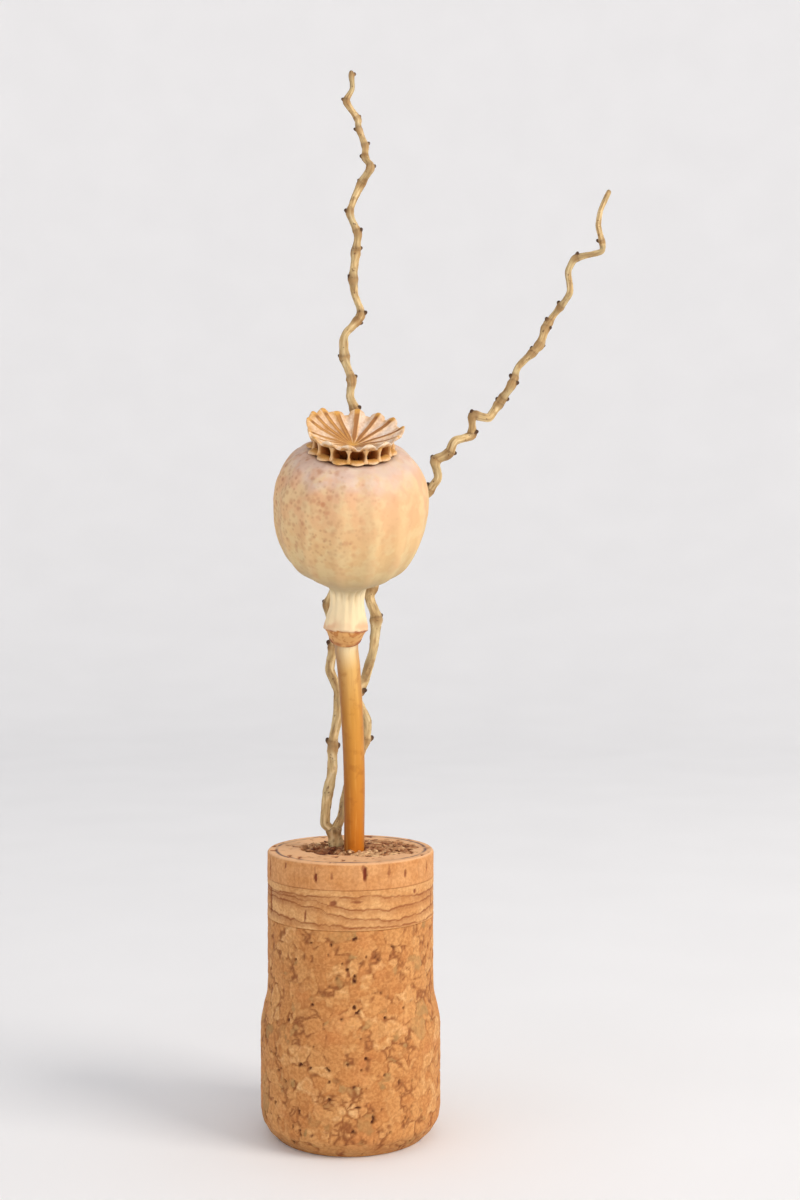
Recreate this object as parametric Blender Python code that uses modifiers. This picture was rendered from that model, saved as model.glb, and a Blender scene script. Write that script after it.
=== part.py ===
"""Dried poppy seed head and a forked, kinked twig, both standing in a used sparkling-wine cork.

Run it with blender --background --python part.py, or from Blender's text editor.
Lengths below are in millimetres and MM turns them to Blender's metres. +Z is up, the front is -Y,
and the origin is the centre of the cork's flat foot.
"""

import math
import random

import bmesh
import bpy
from mathutils import Matrix, Vector

MM = 0.001
FIT_GAP = 0.3
WELD = 0.00001

# Cork stopper: an agglomerated body with two discs of natural cork glued on its narrow end
CORK_LENGTH = 48.0
CORK_FOOT_RADIUS = 15.2
CORK_NECK_RADIUS = 14.0
CORK_CHAMFER_WIDTH = 2.7
CORK_CHAMFER_HEIGHT = 3.5
CORK_CHAMFER_BULGE = 0.35
CORK_SWELL_START = 18.5
CORK_SWELL_END = 25.5
DISC_OUTER_THICKNESS = 4.2
DISC_INNER_THICKNESS = 6.5
CORK_EDGE_ROUND = 0.5
CORK_SIDES = 48

# Drilled socket in the cork, the torn hollow round its mouth, and the crumbs that pack both
SOCKET_RADIUS = 4.5
SOCKET_DEPTH = 13.5
SOCKET_X = -0.6
SOCKET_Y = -1.0
TORN_CENTRE = (1.2, -0.8, CORK_LENGTH + 0.2)
TORN_HALF_SIZES = (9.5, 6.6, 2.0)
PACKING_CENTRE = (1.2, -0.8, CORK_LENGTH - 0.35)
PACKING_HALF_SIZES = (8.4, 5.6, 0.75)
CRUMB_COUNT = 46
CRUMB_SMALLEST = 0.55
CRUMB_LARGEST = 1.15
CRUMB_SPREAD = 0.86
CRUMB_SEED = 11

# Poppy stem: centreline points from its foot in the socket to just under the head
STEM_ROUTE = (
    (0.9, -1.9, 37.5),
    (0.85, -2.3, 48.0),
    (0.8, -3.5, 60.0),
    (0.5, -5.4, 69.5),
    (0.0, -7.9, 78.5),
)
STEM_FOOT_RADIUS = 1.55
STEM_TOP_RADIUS = 1.95
STEM_SPAN_STEPS = 5

# Head: the axis leaves the stem's top, nods towards the front and leans a little to the right
HEAD_BASE = (-0.52, -9.75, 83.66)
HEAD_NOD = math.radians(25.0)
HEAD_LEAN = math.radians(3.2)
STEM_OFFSET = 0.25

# Capsule outline, (height along the axis, radius): scar ring, neck, body and shoulder
CAPSULE_OUTLINE = (
    (0.0, 2.4),
    (0.5, 2.75),
    (1.8, 3.2),
    (2.5, 3.6),
    (3.0, 3.6),
    (4.2, 3.3),
    (6.0, 2.9),
    (7.9, 2.7),
    (9.4, 3.3),
    (10.8, 4.7),
    (11.6, 6.0),
    (12.9, 7.85),
    (15.7, 10.05),
    (19.3, 11.5),
    (23.5, 11.95),
    (26.9, 11.7),
    (29.4, 10.8),
    (31.6, 9.2),
    (32.8, 7.2),
)
CAPSULE_MOUTH_RADIUS = 5.2
CAPSULE_MOUTH_HEIGHT = 32.9
CAPSULE_WALL = 1.1
CHAMBER_FLOOR = 11.7
RIB_HEIGHT = 0.14
RIB_SAMPLES = 4

# Crown: a ray for each chamber wall, at these angles from the right, counter-clockwise from above
RAY_ANGLES = (5, 38, 62, 89, 115, 132, 149, 164, 190, 214, 240, 266, 291, 313, 339)
CROWN_BASE = CAPSULE_MOUTH_HEIGHT + FIT_GAP
CROWN_TIP_RADIUS = 7.6
CROWN_NOTCH = 1.2
CROWN_CENTRE_HEIGHT = 0.75
CROWN_RIM_HEIGHT = 3.1
CROWN_THICKNESS = 0.75
CROWN_RIDGE = 0.35
CROWN_SAMPLES = 6
CROWN_RINGS = 6
VALVE_RING_INNER = 5.0
VALVE_RING_OUTER = 6.4
VALVE_RING_HEIGHT = 0.6
VALVE_LIP = 0.65
PILLAR_INNER = 5.2
PILLAR_OUTER = 6.35
PILLAR_WIDTH = 0.75

# Twig: its foot and trunk, then (sideways, up) for each kink of the two branches
TWIG_FOOT = ((-2.3, 0.7, 40.5), (-2.4, 0.6, 48.0), (-2.8, 0.6, 50.8))
UPRIGHT_KINKS = (
    (-4.5, 52.2), (-3.8, 57.6), (-3.0, 61.4), (-3.1, 65.6), (-2.3, 69.5), (-1.9, 74.2),
    (-3.7, 78.2), (-2.8, 82.6), (-3.1, 86.0), (-3.8, 89.0), (-2.7, 92.0), (-1.0, 96.5),
    (-2.4, 102.0), (-0.2, 108.0), (-1.4, 114.0), (-0.2, 118.5), (0.9, 121.8), (-0.2, 124.2),
    (0.3, 127.0), (-1.2, 131.0), (-1.2, 134.5), (2.0, 138.0), (0.5, 142.0), (0.4, 144.5),
    (0.9, 149.0), (1.3, 152.0), (-0.4, 155.2), (1.5, 160.2), (3.5, 162.9), (2.3, 165.0),
    (2.5, 166.8), (1.3, 169.6), (1.2, 171.6), (-1.0, 174.2), (0.3, 176.4), (0.0, 179.7),
)
LEANING_KINKS = (
    (-1.6, 53.0), (-0.7, 57.2), (0.4, 61.0), (2.5, 66.0), (2.9, 69.0), (0.7, 73.5),
    (2.4, 76.4), (3.7, 81.5), (4.4, 87.0), (3.0, 90.6), (6.3, 96.5), (8.0, 99.0),
    (9.0, 102.5), (11.3, 105.6), (13.4, 108.6), (14.9, 110.4), (14.1, 113.6), (16.8, 114.7),
    (17.4, 116.8), (20.7, 117.8), (20.5, 121.3), (23.6, 120.6), (25.0, 123.0), (27.4, 126.3),
    (28.4, 129.6), (32.1, 133.0), (33.1, 136.2), (34.9, 138.8), (37.4, 142.0), (37.0, 146.0),
    (38.2, 148.3), (42.8, 149.0), (43.2, 150.6), (42.1, 153.6), (42.6, 156.4), (44.3, 160.0),
)
# Buds on each branch: the place, counted in kinks, and the side, 1 right and -1 left going up
UPRIGHT_BUDS = (
    (2.7, 1), (3.0, -1), (6.8, -1), (9.0, -1), (11.1, 1), (13.0, 1), (14.1, -1),
    (16.1, 1), (18.0, 1), (19.0, -1), (20.6, 1), (21.0, 1), (22.7, -1), (23.9, -1), (24.2, 1),
    (25.0, 1), (26.0, -1), (27.2, -1), (28.0, 1), (29.0, -1), (30.0, 1), (30.8, -1),
    (32.0, 1), (33.0, -1), (34.8, 1),
)
LEANING_BUDS = (
    (0.3, -1), (3.1, 1), (5.4, 1), (7.9, 1), (9.3, -1), (11.1, 1), (12.8, 1), (14.0, -1),
    (16.0, -1), (17.0, 1), (19.1, 1), (20.0, -1), (22.1, -1), (22.4, 1), (23.1, 1),
    (23.4, -1), (24.6, -1), (25.1, 1), (25.9, 1), (26.4, -1), (27.4, -1), (30.0, -1),
    (32.3, -1),
)
TWIG_DEPTH = 0.9
UPRIGHT_DRIFT = 5.0
LEANING_DRIFT = 7.0
WANDER_LOW = 0.25
WANDER_HIGH = 1.3
WANDER_TURN = 2.4
TRUNK_RADIUS = 1.0
TWIG_LOW_RADIUS = 0.82
TWIG_TIP_RADIUS = 0.42
TWIG_TAPER = 2.0
KNOT_SWELL = 1.2
KNOT_REACH = 0.3
KINK_CUT = 0.25
BUD_LENGTH = 1.45
BUD_RADIUS = 0.5
BUD_SIDES = 5
BUD_RISE = 0.4
BUD_TURN = 0.5

# Linear base colours and roughness
FINISHES = {
    "agglomerated_cork": ((0.52, 0.25, 0.09, 1.0), 0.85),
    "natural_cork": ((0.57, 0.30, 0.13, 1.0), 0.8),
    "cork_crumbs": ((0.42, 0.20, 0.09, 1.0), 0.9),
    "straw_stem": ((0.62, 0.27, 0.05, 1.0), 0.4),
    "capsule_skin": ((0.72, 0.50, 0.27, 1.0), 0.6),
    "crown_skin": ((0.60, 0.31, 0.09, 1.0), 0.55),
    "twig_bark": ((0.36, 0.23, 0.11, 1.0), 0.7),
}


def clear_scene():
    """Removes what the startup scene holds."""
    for obj in list(bpy.data.objects):
        bpy.data.objects.remove(obj)


def make_collection(name, hidden=False):
    """A collection under the scene's own. A hidden one holds cutters and loose repeats."""
    made = bpy.data.collections.new(name)
    made.hide_render = hidden
    bpy.context.scene.collection.children.link(made)
    return made


def make_finish(name):
    """The Principled material of that name in FINISHES."""
    colour, roughness = FINISHES[name]
    made = bpy.data.materials.new(name)
    made.use_nodes = True
    shader = made.node_tree.nodes["Principled BSDF"]
    shader.inputs["Base Color"].default_value = colour
    shader.inputs["Roughness"].default_value = roughness
    shader.inputs["Metallic"].default_value = 0.0
    return made


def add_object(name, data, collection):
    """Links a new object that holds data."""
    made = bpy.data.objects.new(name, data)
    collection.objects.link(made)
    return made


def add_cutter(name, data, collection):
    """As add_object, for a shape that only cuts or joins others."""
    made = add_object(name, data, collection)
    made.hide_render = True
    made.display_type = "WIRE"
    return made


def finish_object(obj, finish):
    """Gives the object its material and smooth shading with crisp edges."""
    obj.data.materials.clear()
    obj.data.materials.append(make_finish(finish))
    if obj.type == "MESH":
        obj.data.shade_smooth()
        obj.data.set_sharp_from_angle(angle=math.radians(40.0))


def smooth_line(points, steps):
    """Points on the Catmull-Rom curve through the given ones, with that many steps a span."""
    knots = [Vector(point) for point in points]
    padded = [2 * knots[0] - knots[1], *knots, 2 * knots[-1] - knots[-2]]
    line = []
    for before, start, end, after in zip(padded, padded[1:], padded[2:], padded[3:]):
        for step in range(steps):
            t = step / steps
            line.append(
                0.5
                * (
                    2 * start
                    + (end - before) * t
                    + (2 * before - 5 * start + 4 * end - after) * t**2
                    + (3 * start - before - 3 * end + after) * t**3
                )
            )
    line.append(knots[-1])
    return line


def turned(name, outline, sides, collection):
    """A mesh object turned about Z from (height, radius) points that run down the outer side."""
    mesh = bpy.data.meshes.new(name)
    points = [(radius * MM, 0.0, height * MM) for height, radius in outline]
    edges = [(index, index + 1) for index in range(len(points) - 1)]
    mesh.from_pydata(points, edges, [])
    made = add_object(name, mesh, collection)
    screw = made.modifiers.new("turn", "SCREW")
    screw.axis = "Z"
    screw.steps = sides
    screw.render_steps = sides
    screw.use_merge_vertices = True
    screw.merge_threshold = WELD
    return made


def tube(name, route, radii, collection, resolution=2):
    """A curve object: a round tube along the route, with a radius for each point and closed ends."""
    curve = bpy.data.curves.new(name, "CURVE")
    curve.dimensions = "3D"
    curve.bevel_depth = MM
    curve.bevel_resolution = resolution
    curve.use_fill_caps = True
    spline = curve.splines.new("POLY")
    spline.points.add(len(route) - 1)
    for point, place, radius in zip(spline.points, route, radii):
        point.co = (*(Vector(place) * MM), 1.0)
        point.radius = radius
    return add_object(name, curve, collection)


def as_mesh(obj, collection):
    """Replaces the object with the mesh it evaluates to, in world space, with its caps welded."""
    bpy.context.view_layer.update()
    graph = bpy.context.evaluated_depsgraph_get()
    mesh = bpy.data.meshes.new_from_object(obj.evaluated_get(graph))
    mesh.transform(obj.matrix_world)
    work = bmesh.new()
    work.from_mesh(mesh)
    bmesh.ops.remove_doubles(work, verts=work.verts, dist=WELD)
    work.to_mesh(mesh)
    work.free()
    name = obj.name
    bpy.data.objects.remove(obj)
    return add_object(name, mesh, collection)


def apply_boolean(obj, operation, other, collection, solver="EXACT"):
    """Cuts, or joins, an object or a whole collection with obj, and removes what was used."""
    boolean = obj.modifiers.new(operation.lower(), "BOOLEAN")
    boolean.operation = operation
    boolean.solver = solver
    if isinstance(other, bpy.types.Collection):
        boolean.operand_type = "COLLECTION"
        boolean.collection = other
        used = list(other.objects)
    else:
        boolean.object = other
        used = [other]
    made = as_mesh(obj, collection)
    for piece in used:
        bpy.data.objects.remove(piece)
    if isinstance(other, bpy.types.Collection):
        bpy.data.collections.remove(other)
    return made


def ellipsoid(name, centre, half_sizes, collection, segments=32, rings=12):
    """A UV sphere stretched to its half sizes."""
    work = bmesh.new()
    bmesh.ops.create_uvsphere(work, u_segments=segments, v_segments=rings, radius=1.0)
    stretch = Matrix.Diagonal((*(Vector(half_sizes) * MM), 1.0))
    place = Matrix.Translation(Vector(centre) * MM)
    bmesh.ops.transform(work, matrix=place @ stretch, verts=work.verts)
    mesh = bpy.data.meshes.new(name)
    work.to_mesh(mesh)
    work.free()
    return add_cutter(name, mesh, collection)


def cylinder(name, centre, radius, low, high, collection, sides=32):
    """An upright cylinder from one height to another."""
    work = bmesh.new()
    bmesh.ops.create_cone(
        work,
        cap_ends=True,
        segments=sides,
        radius1=radius * MM,
        radius2=radius * MM,
        depth=(high - low) * MM,
    )
    middle = Vector((centre[0], centre[1], (low + high) / 2)) * MM
    bmesh.ops.translate(work, vec=middle, verts=work.verts)
    mesh = bpy.data.meshes.new(name)
    work.to_mesh(mesh)
    work.free()
    return add_cutter(name, mesh, collection)


def cork_radius(height):
    """The cork's radius: full at the foot, and narrower above the smooth step at its waist."""
    t = (height - CORK_SWELL_START) / (CORK_SWELL_END - CORK_SWELL_START)
    t = min(1.0, max(0.0, t))
    return CORK_FOOT_RADIUS - (CORK_FOOT_RADIUS - CORK_NECK_RADIUS) * t * t * (3 - 2 * t)


def cut_socket(obj, helpers, parts, torn=False):
    """Cuts the drilled socket, and for the top disc the torn hollow round its mouth."""
    drill = cylinder(
        "drill",
        (SOCKET_X, SOCKET_Y),
        SOCKET_RADIUS,
        CORK_LENGTH - SOCKET_DEPTH,
        CORK_LENGTH + 2.0,
        helpers,
    )
    made = apply_boolean(obj, "DIFFERENCE", drill, parts)
    if torn:
        hollow = ellipsoid("hollow", TORN_CENTRE, TORN_HALF_SIZES, helpers)
        made = apply_boolean(made, "DIFFERENCE", hollow, parts)
    return made


def make_cork(parts, helpers):
    """The agglomerated body and the two natural discs on it."""
    disc_top = CORK_LENGTH
    disc_joint = disc_top - DISC_OUTER_THICKNESS
    body_top = disc_joint - DISC_INNER_THICKNESS
    swell = [CORK_SWELL_END - (CORK_SWELL_END - CORK_SWELL_START) * step / 5 for step in range(6)]
    body_outline = [
        (body_top - FIT_GAP, 0.0),
        (body_top - FIT_GAP, CORK_NECK_RADIUS),
        *[(height, cork_radius(height)) for height in swell],
        (CORK_CHAMFER_HEIGHT + 1.2, CORK_FOOT_RADIUS),
        (CORK_CHAMFER_HEIGHT - 0.4, CORK_FOOT_RADIUS - 0.25),
        (CORK_CHAMFER_HEIGHT * 0.4, CORK_FOOT_RADIUS - CORK_CHAMFER_WIDTH * 0.6 + CORK_CHAMFER_BULGE),
        (0.0, CORK_FOOT_RADIUS - CORK_CHAMFER_WIDTH),
        (0.0, 0.0),
    ]
    inner_outline = [
        (disc_joint - FIT_GAP, 0.0),
        (disc_joint - FIT_GAP, CORK_NECK_RADIUS),
        (body_top, CORK_NECK_RADIUS),
        (body_top, 0.0),
    ]
    outer_outline = [
        (disc_top, 0.0),
        (disc_top, CORK_NECK_RADIUS - CORK_EDGE_ROUND),
        (disc_top - CORK_EDGE_ROUND, CORK_NECK_RADIUS),
        (disc_joint, CORK_NECK_RADIUS),
        (disc_joint, 0.0),
    ]
    for name, outline, finish in (
        ("cork_body", body_outline, "agglomerated_cork"),
        ("cork_disc_inner", inner_outline, "natural_cork"),
        ("cork_disc_outer", outer_outline, "natural_cork"),
    ):
        blank = turned(name, outline, CORK_SIDES, parts)
        made = cut_socket(blank, helpers, parts, torn=name == "cork_disc_outer")
        finish_object(made, finish)


def stem_route():
    """The stem's smooth centreline, square to the head's base with a fitting gap below it. It meets
    the head a little to the right of its axis."""
    axis = head_matrix().to_3x3() @ Vector((0.0, 0.0, 1.0))
    end = Vector(HEAD_BASE) - axis * FIT_GAP + Vector((STEM_OFFSET, 0.0, 0.0))
    return smooth_line([*STEM_ROUTE, end - axis * 1.6, end], STEM_SPAN_STEPS)


def stem_radii(route, margin=0.0):
    """The stem thickens evenly from its foot to the head."""
    last = len(route) - 1
    return [
        STEM_FOOT_RADIUS + (STEM_TOP_RADIUS - STEM_FOOT_RADIUS) * index / last + margin
        for index in range(len(route))
    ]


def make_stem(parts):
    """The poppy's own stem."""
    route = stem_route()
    stem = tube("poppy_stem", route, stem_radii(route), parts, resolution=4)
    finish_object(as_mesh(stem, parts), "straw_stem")


def head_matrix():
    """Where the head's own frame stands: its origin at the base of the scar ring, +Z along its axis."""
    turn = Matrix.Rotation(HEAD_LEAN, 4, "Y") @ Matrix.Rotation(HEAD_NOD, 4, "X")
    return Matrix.Translation(Vector(HEAD_BASE) * MM) @ turn


def ray_angle(lobe):
    """The angle at a place counted in rays: whole numbers lie on a ray, halves between two."""
    count = len(RAY_ANGLES)
    index = math.floor(lobe)
    here = RAY_ANGLES[index % count] + 360.0 * (index // count)
    after = RAY_ANGLES[(index + 1) % count] + 360.0 * ((index + 1) // count)
    return math.radians(here + (after - here) * (lobe - index))


def shape_lobes(obj, formula):
    """Moves each point of a turned mesh by formula(lobe, radius, height) -> (radius, height), in
    millimetres, and turns it so that the evenly spaced sides fall on the crown's uneven rays."""
    count = len(RAY_ANGLES)
    for vertex in obj.data.vertices:
        x, y, z = vertex.co / MM
        lobe = (math.atan2(y, x) % math.tau) / math.tau * count
        radius, height = formula(lobe, math.hypot(x, y), z)
        angle = ray_angle(lobe)
        vertex.co = Vector((radius * math.cos(angle), radius * math.sin(angle), height)) * MM
    obj.data.update()


def capsule_rib(lobe, radius, height):
    """Soft ribs on the rays, strongest round the neck's top and fading at the scar ring."""
    fade = min(1.0, max(0.0, (height - 3.0) / 4.0)) * min(1.0, radius / CAPSULE_MOUTH_RADIUS)
    return radius + RIB_HEIGHT * fade * math.cos(math.tau * lobe), height


def make_capsule(parts, frame):
    """The pod: a thin-walled chamber, open at the mouth under the crown, on its solid neck."""
    chamber = [
        (height, radius - CAPSULE_WALL)
        for height, radius in CAPSULE_OUTLINE
        if CHAMBER_FLOOR + CAPSULE_WALL < height < CAPSULE_MOUTH_HEIGHT - 2 * CAPSULE_WALL
    ]
    outline = [
        (CHAMBER_FLOOR, 0.0),
        (CHAMBER_FLOOR + 0.3, 3.2),
        *chamber,
        (CAPSULE_MOUTH_HEIGHT - CAPSULE_WALL, CAPSULE_MOUTH_RADIUS + 0.5),
        (CAPSULE_MOUTH_HEIGHT, CAPSULE_MOUTH_RADIUS),
        *reversed(CAPSULE_OUTLINE),
        (0.0, 0.0),
    ]
    pod = turned("poppy_capsule", outline, RIB_SAMPLES * len(RAY_ANGLES), parts)
    pod = as_mesh(pod, parts)
    shape_lobes(pod, capsule_rib)
    finish_object(pod, "capsule_skin")
    pod.parent = frame


def crown_top(share):
    """Height of the funnel's upper face at a share of its radius: shallow, curling up at the rim."""
    return CROWN_CENTRE_HEIGHT + (CROWN_RIM_HEIGHT - CROWN_CENTRE_HEIGHT) * share**1.4


def crown_lobe(lobe, radius, height):
    """Pulls the rim in between rays, and raises a ridge along each ray."""
    share = min(1.0, radius / CROWN_TIP_RADIUS)
    on_ray = 0.5 + 0.5 * math.cos(math.tau * lobe)
    notch = CROWN_NOTCH * (1.0 - on_ray) * max(0.0, share - 0.45) / 0.55
    top = height > crown_top(share) - CROWN_THICKNESS / 2
    ridge = CROWN_RIDGE * (on_ray**2 - 0.3) * min(1.0, 2.0 * share) if top else 0.0
    return radius - notch, height + ridge


def valve_lobe(lobe, radius, height):
    """Pushes the ring's outer edge out into a lip below each opening."""
    between = 0.5 - 0.5 * math.cos(math.tau * lobe)
    outer = radius > (VALVE_RING_INNER + VALVE_RING_OUTER) / 2
    return radius + (VALVE_LIP * between if outer else 0.0), height


def make_pillar(lobe, collection):
    """One chamber wall's end: a plate standing on the valve ring, under a ray."""
    work = bmesh.new()
    bmesh.ops.create_cube(work, size=1.0)
    low = VALVE_RING_HEIGHT * 0.4
    high = crown_top(PILLAR_OUTER / CROWN_TIP_RADIUS) - CROWN_THICKNESS * 0.55
    for vertex in work.verts:
        outer = vertex.co.x > 0
        upper = vertex.co.z > 0
        radius = PILLAR_OUTER if outer else PILLAR_INNER
        rise = high if outer else crown_top(PILLAR_INNER / CROWN_TIP_RADIUS) - CROWN_THICKNESS * 0.55
        side = PILLAR_WIDTH if outer else PILLAR_WIDTH * 0.8
        vertex.co = Vector((radius, side * vertex.co.y, rise if upper else low)) * MM
    bmesh.ops.rotate(
        work,
        matrix=Matrix.Rotation(ray_angle(lobe), 3, "Z"),
        verts=work.verts,
    )
    mesh = bpy.data.meshes.new("pillar")
    work.to_mesh(mesh)
    work.free()
    return add_cutter("pillar", mesh, collection)


def make_crown(parts, frame):
    """The rayed funnel on its pillars, over the ring of valve lips, as one body."""
    sides = CROWN_SAMPLES * len(RAY_ANGLES)
    shares = [step / CROWN_RINGS for step in range(CROWN_RINGS + 1)]
    upper = [(crown_top(share), share * CROWN_TIP_RADIUS) for share in shares]
    lower = [
        (crown_top(share) - CROWN_THICKNESS, share * CROWN_TIP_RADIUS)
        for share in reversed(shares[::2])
    ]
    funnel = turned("poppy_crown", [*upper, *lower], sides, parts)
    funnel = as_mesh(funnel, parts)
    shape_lobes(funnel, crown_lobe)

    joined = make_collection("crown_pieces", hidden=True)
    ring_outline = [
        (VALVE_RING_HEIGHT, VALVE_RING_INNER),
        (VALVE_RING_HEIGHT, VALVE_RING_OUTER),
        (0.0, VALVE_RING_OUTER - 0.2),
        (0.0, VALVE_RING_INNER),
        (VALVE_RING_HEIGHT, VALVE_RING_INNER),
    ]
    ring = turned("valve_ring", ring_outline, sides, joined)
    ring = as_mesh(ring, joined)
    shape_lobes(ring, valve_lobe)
    for lobe in range(len(RAY_ANGLES)):
        make_pillar(lobe, joined)
    crown = apply_boolean(funnel, "UNION", joined, parts, solver="MANIFOLD")
    crown.location = (0.0, 0.0, CROWN_BASE * MM)
    finish_object(crown, "crown_skin")
    crown.parent = frame


def branch_route(kinks, drift):
    """The kinks with their depth: a slow drift to the back, and a turn of WANDER_TURN radians from
    each kink to the next, which winds the branch in depth as well as sideways."""
    last = len(kinks) - 1
    route = [Vector(TWIG_FOOT[-1])]
    for index, (x, z) in enumerate(kinks):
        share = index / last
        wander = WANDER_LOW + (WANDER_HIGH - WANDER_LOW) * min(1.0, 1.6 * share)
        depth = TWIG_DEPTH + drift * share + wander * math.sin(WANDER_TURN * index)
        route.append(Vector((x, depth, z)))
    return route


def cut_corners(route):
    """Swaps each inner point for two near it, so that the kinks are rounded. Returns the points,
    and the place of each, counted in kinks."""
    line, places = [route[0]], [-1.0]
    for kink, (before, corner, after) in enumerate(zip(route, route[1:], route[2:])):
        line += [corner + (before - corner) * KINK_CUT, corner + (after - corner) * KINK_CUT]
        places += [kink - KINK_CUT, kink + KINK_CUT]
    return [*line, route[-1]], [*places, len(route) - 2.0]


def branch_radii(places, buds):
    """A taper to the tip, thicker where a bud sits."""
    radii = []
    for place in places:
        share = (place + 1.0) / (places[-1] + 1.0)
        radius = TWIG_LOW_RADIUS + (TWIG_TIP_RADIUS - TWIG_LOW_RADIUS) * share**TWIG_TAPER
        near = any(abs(place - bud) < KNOT_REACH for bud, _ in buds)
        radii.append(radius * (KNOT_SWELL if near else 1.0))
    return radii


def make_bud(place, leaning, size, collection):
    """A short blunt spur on the outside of a kink, sunk to the branch's centreline."""
    work = bmesh.new()
    bmesh.ops.create_cone(
        work,
        cap_ends=True,
        segments=BUD_SIDES,
        radius1=BUD_RADIUS * size * MM,
        radius2=BUD_RADIUS * 0.4 * size * MM,
        depth=BUD_LENGTH * size * MM,
    )
    turned_up = leaning.to_track_quat("Z", "Y").to_matrix().to_4x4()
    middle = Matrix.Translation((place + leaning * BUD_LENGTH * size / 2) * MM)
    bmesh.ops.transform(work, matrix=middle @ turned_up, verts=work.verts)
    mesh = bpy.data.meshes.new("bud")
    work.to_mesh(mesh)
    work.free()
    return add_cutter("bud", mesh, collection)


def add_branch(name, kinks, buds, drift, collection):
    """One branch, and its buds: each leans to its side of the branch, and in turn to the front and
    to the back."""
    route = branch_route(kinks, drift)
    line, places = cut_corners(route)
    as_mesh(tube(name, line, branch_radii(places, buds), collection), collection)
    for number, (bud, side) in enumerate(buds):
        index = max(place for place in range(len(places) - 1) if places[place] <= bud)
        share = (bud - places[index]) / (places[index + 1] - places[index])
        span = line[index + 1] - line[index]
        along = span.normalized()
        across = Vector((along.z, BUD_TURN * (-1) ** number, -along.x)) * side
        leaning = (across.normalized() + along * BUD_RISE).normalized()
        size = 1.0 - 0.4 * bud / len(kinks)
        make_bud(line[index] + span * share, leaning, size, collection)


def make_twig(parts):
    """Trunk, two branches and their buds, grown as one piece."""
    branches = make_collection("twig_pieces", hidden=True)
    add_branch("upright", UPRIGHT_KINKS, UPRIGHT_BUDS, UPRIGHT_DRIFT, branches)
    add_branch("leaning", LEANING_KINKS, LEANING_BUDS, LEANING_DRIFT, branches)
    foot = [Vector(point) for point in TWIG_FOOT]
    foot.append(foot[-1] + (foot[-1] - foot[-2]) * 0.25)
    trunk = as_mesh(tube("kinked_twig", foot, [TRUNK_RADIUS] * len(foot), parts), parts)
    twig = apply_boolean(trunk, "UNION", branches, parts, solver="MANIFOLD")
    finish_object(twig, "twig_bark")


def scatter_crumbs(collection):
    """Small lumps over the packing, larger towards the middle, with a seeded draw."""
    draw = random.Random(CRUMB_SEED)
    placed = 0
    while placed < CRUMB_COUNT:
        across, along = draw.uniform(-1, 1), draw.uniform(-1, 1)
        reach = math.hypot(across, along)
        if reach > 1:
            continue
        size = draw.uniform(CRUMB_SMALLEST, CRUMB_LARGEST) * (1.0 - 0.35 * reach)
        dome = math.sqrt(1 - (CRUMB_SPREAD * reach) ** 2)
        centre = (
            PACKING_CENTRE[0] + across * PACKING_HALF_SIZES[0] * CRUMB_SPREAD,
            PACKING_CENTRE[1] + along * PACKING_HALF_SIZES[1] * CRUMB_SPREAD,
            PACKING_CENTRE[2] + dome * PACKING_HALF_SIZES[2] * 0.4,
        )
        work = bmesh.new()
        bmesh.ops.create_icosphere(work, subdivisions=1, radius=size * MM)
        squash = Matrix.Diagonal((draw.uniform(0.8, 1.3), draw.uniform(0.7, 1.0), 0.65, 1.0))
        spin = Matrix.Rotation(draw.uniform(0, math.tau), 4, "Z")
        tip = Matrix.Rotation(draw.uniform(-0.6, 0.6), 4, "X")
        place = Matrix.Translation(Vector(centre) * MM)
        bmesh.ops.transform(work, matrix=place @ spin @ tip @ squash, verts=work.verts)
        mesh = bpy.data.meshes.new("crumb")
        work.to_mesh(mesh)
        work.free()
        add_cutter("crumb", mesh, collection)
        placed += 1


def cut_for_stems(obj, helpers, parts):
    """Clears the holes that the stem and the twig's trunk stand in."""
    bore_stem = stem_route()
    below = bore_stem[0] + Vector((0.0, 0.0, -FIT_GAP))
    bore_stem = [below, *bore_stem[: 3 * STEM_SPAN_STEPS]]
    foot = [Vector(point) for point in TWIG_FOOT]
    foot = [foot[0] + Vector((0.0, 0.0, -FIT_GAP)), *foot]
    stem_bore = tube("stem_bore", bore_stem, stem_radii(bore_stem, FIT_GAP), helpers, resolution=4)
    twig_bore = tube("twig_bore", foot, [TRUNK_RADIUS + FIT_GAP] * len(foot), helpers)
    for bore in (stem_bore, twig_bore):
        cutter = as_mesh(bore, helpers)
        cutter.hide_render = True
        obj = apply_boolean(obj, "DIFFERENCE", cutter, parts, solver="MANIFOLD")
    return obj


def make_packing(parts, helpers):
    """Glued cork crumbs that fill the socket and the torn hollow, with holes for the two stems."""
    mound = as_mesh(ellipsoid("cork_packing", PACKING_CENTRE, PACKING_HALF_SIZES, parts), parts)
    joined = make_collection("packing_pieces", hidden=True)
    cylinder(
        "plug",
        (SOCKET_X, SOCKET_Y),
        SOCKET_RADIUS - FIT_GAP,
        CORK_LENGTH - SOCKET_DEPTH + FIT_GAP,
        PACKING_CENTRE[2],
        joined,
        sides=24,
    )
    scatter_crumbs(joined)
    packing = apply_boolean(mound, "UNION", joined, parts, solver="MANIFOLD")
    packing = cut_for_stems(packing, helpers, parts)
    finish_object(packing, "cork_crumbs")


def main():
    """Builds every piece in one collection."""
    clear_scene()
    parts = make_collection("poppy_in_cork")
    helpers = make_collection("cutters", hidden=True)
    frame = add_object("head_frame", None, parts)
    frame.matrix_world = head_matrix()
    make_cork(parts, helpers)
    make_packing(parts, helpers)
    make_stem(parts)
    make_capsule(parts, frame)
    make_crown(parts, frame)
    make_twig(parts)


main()
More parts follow.
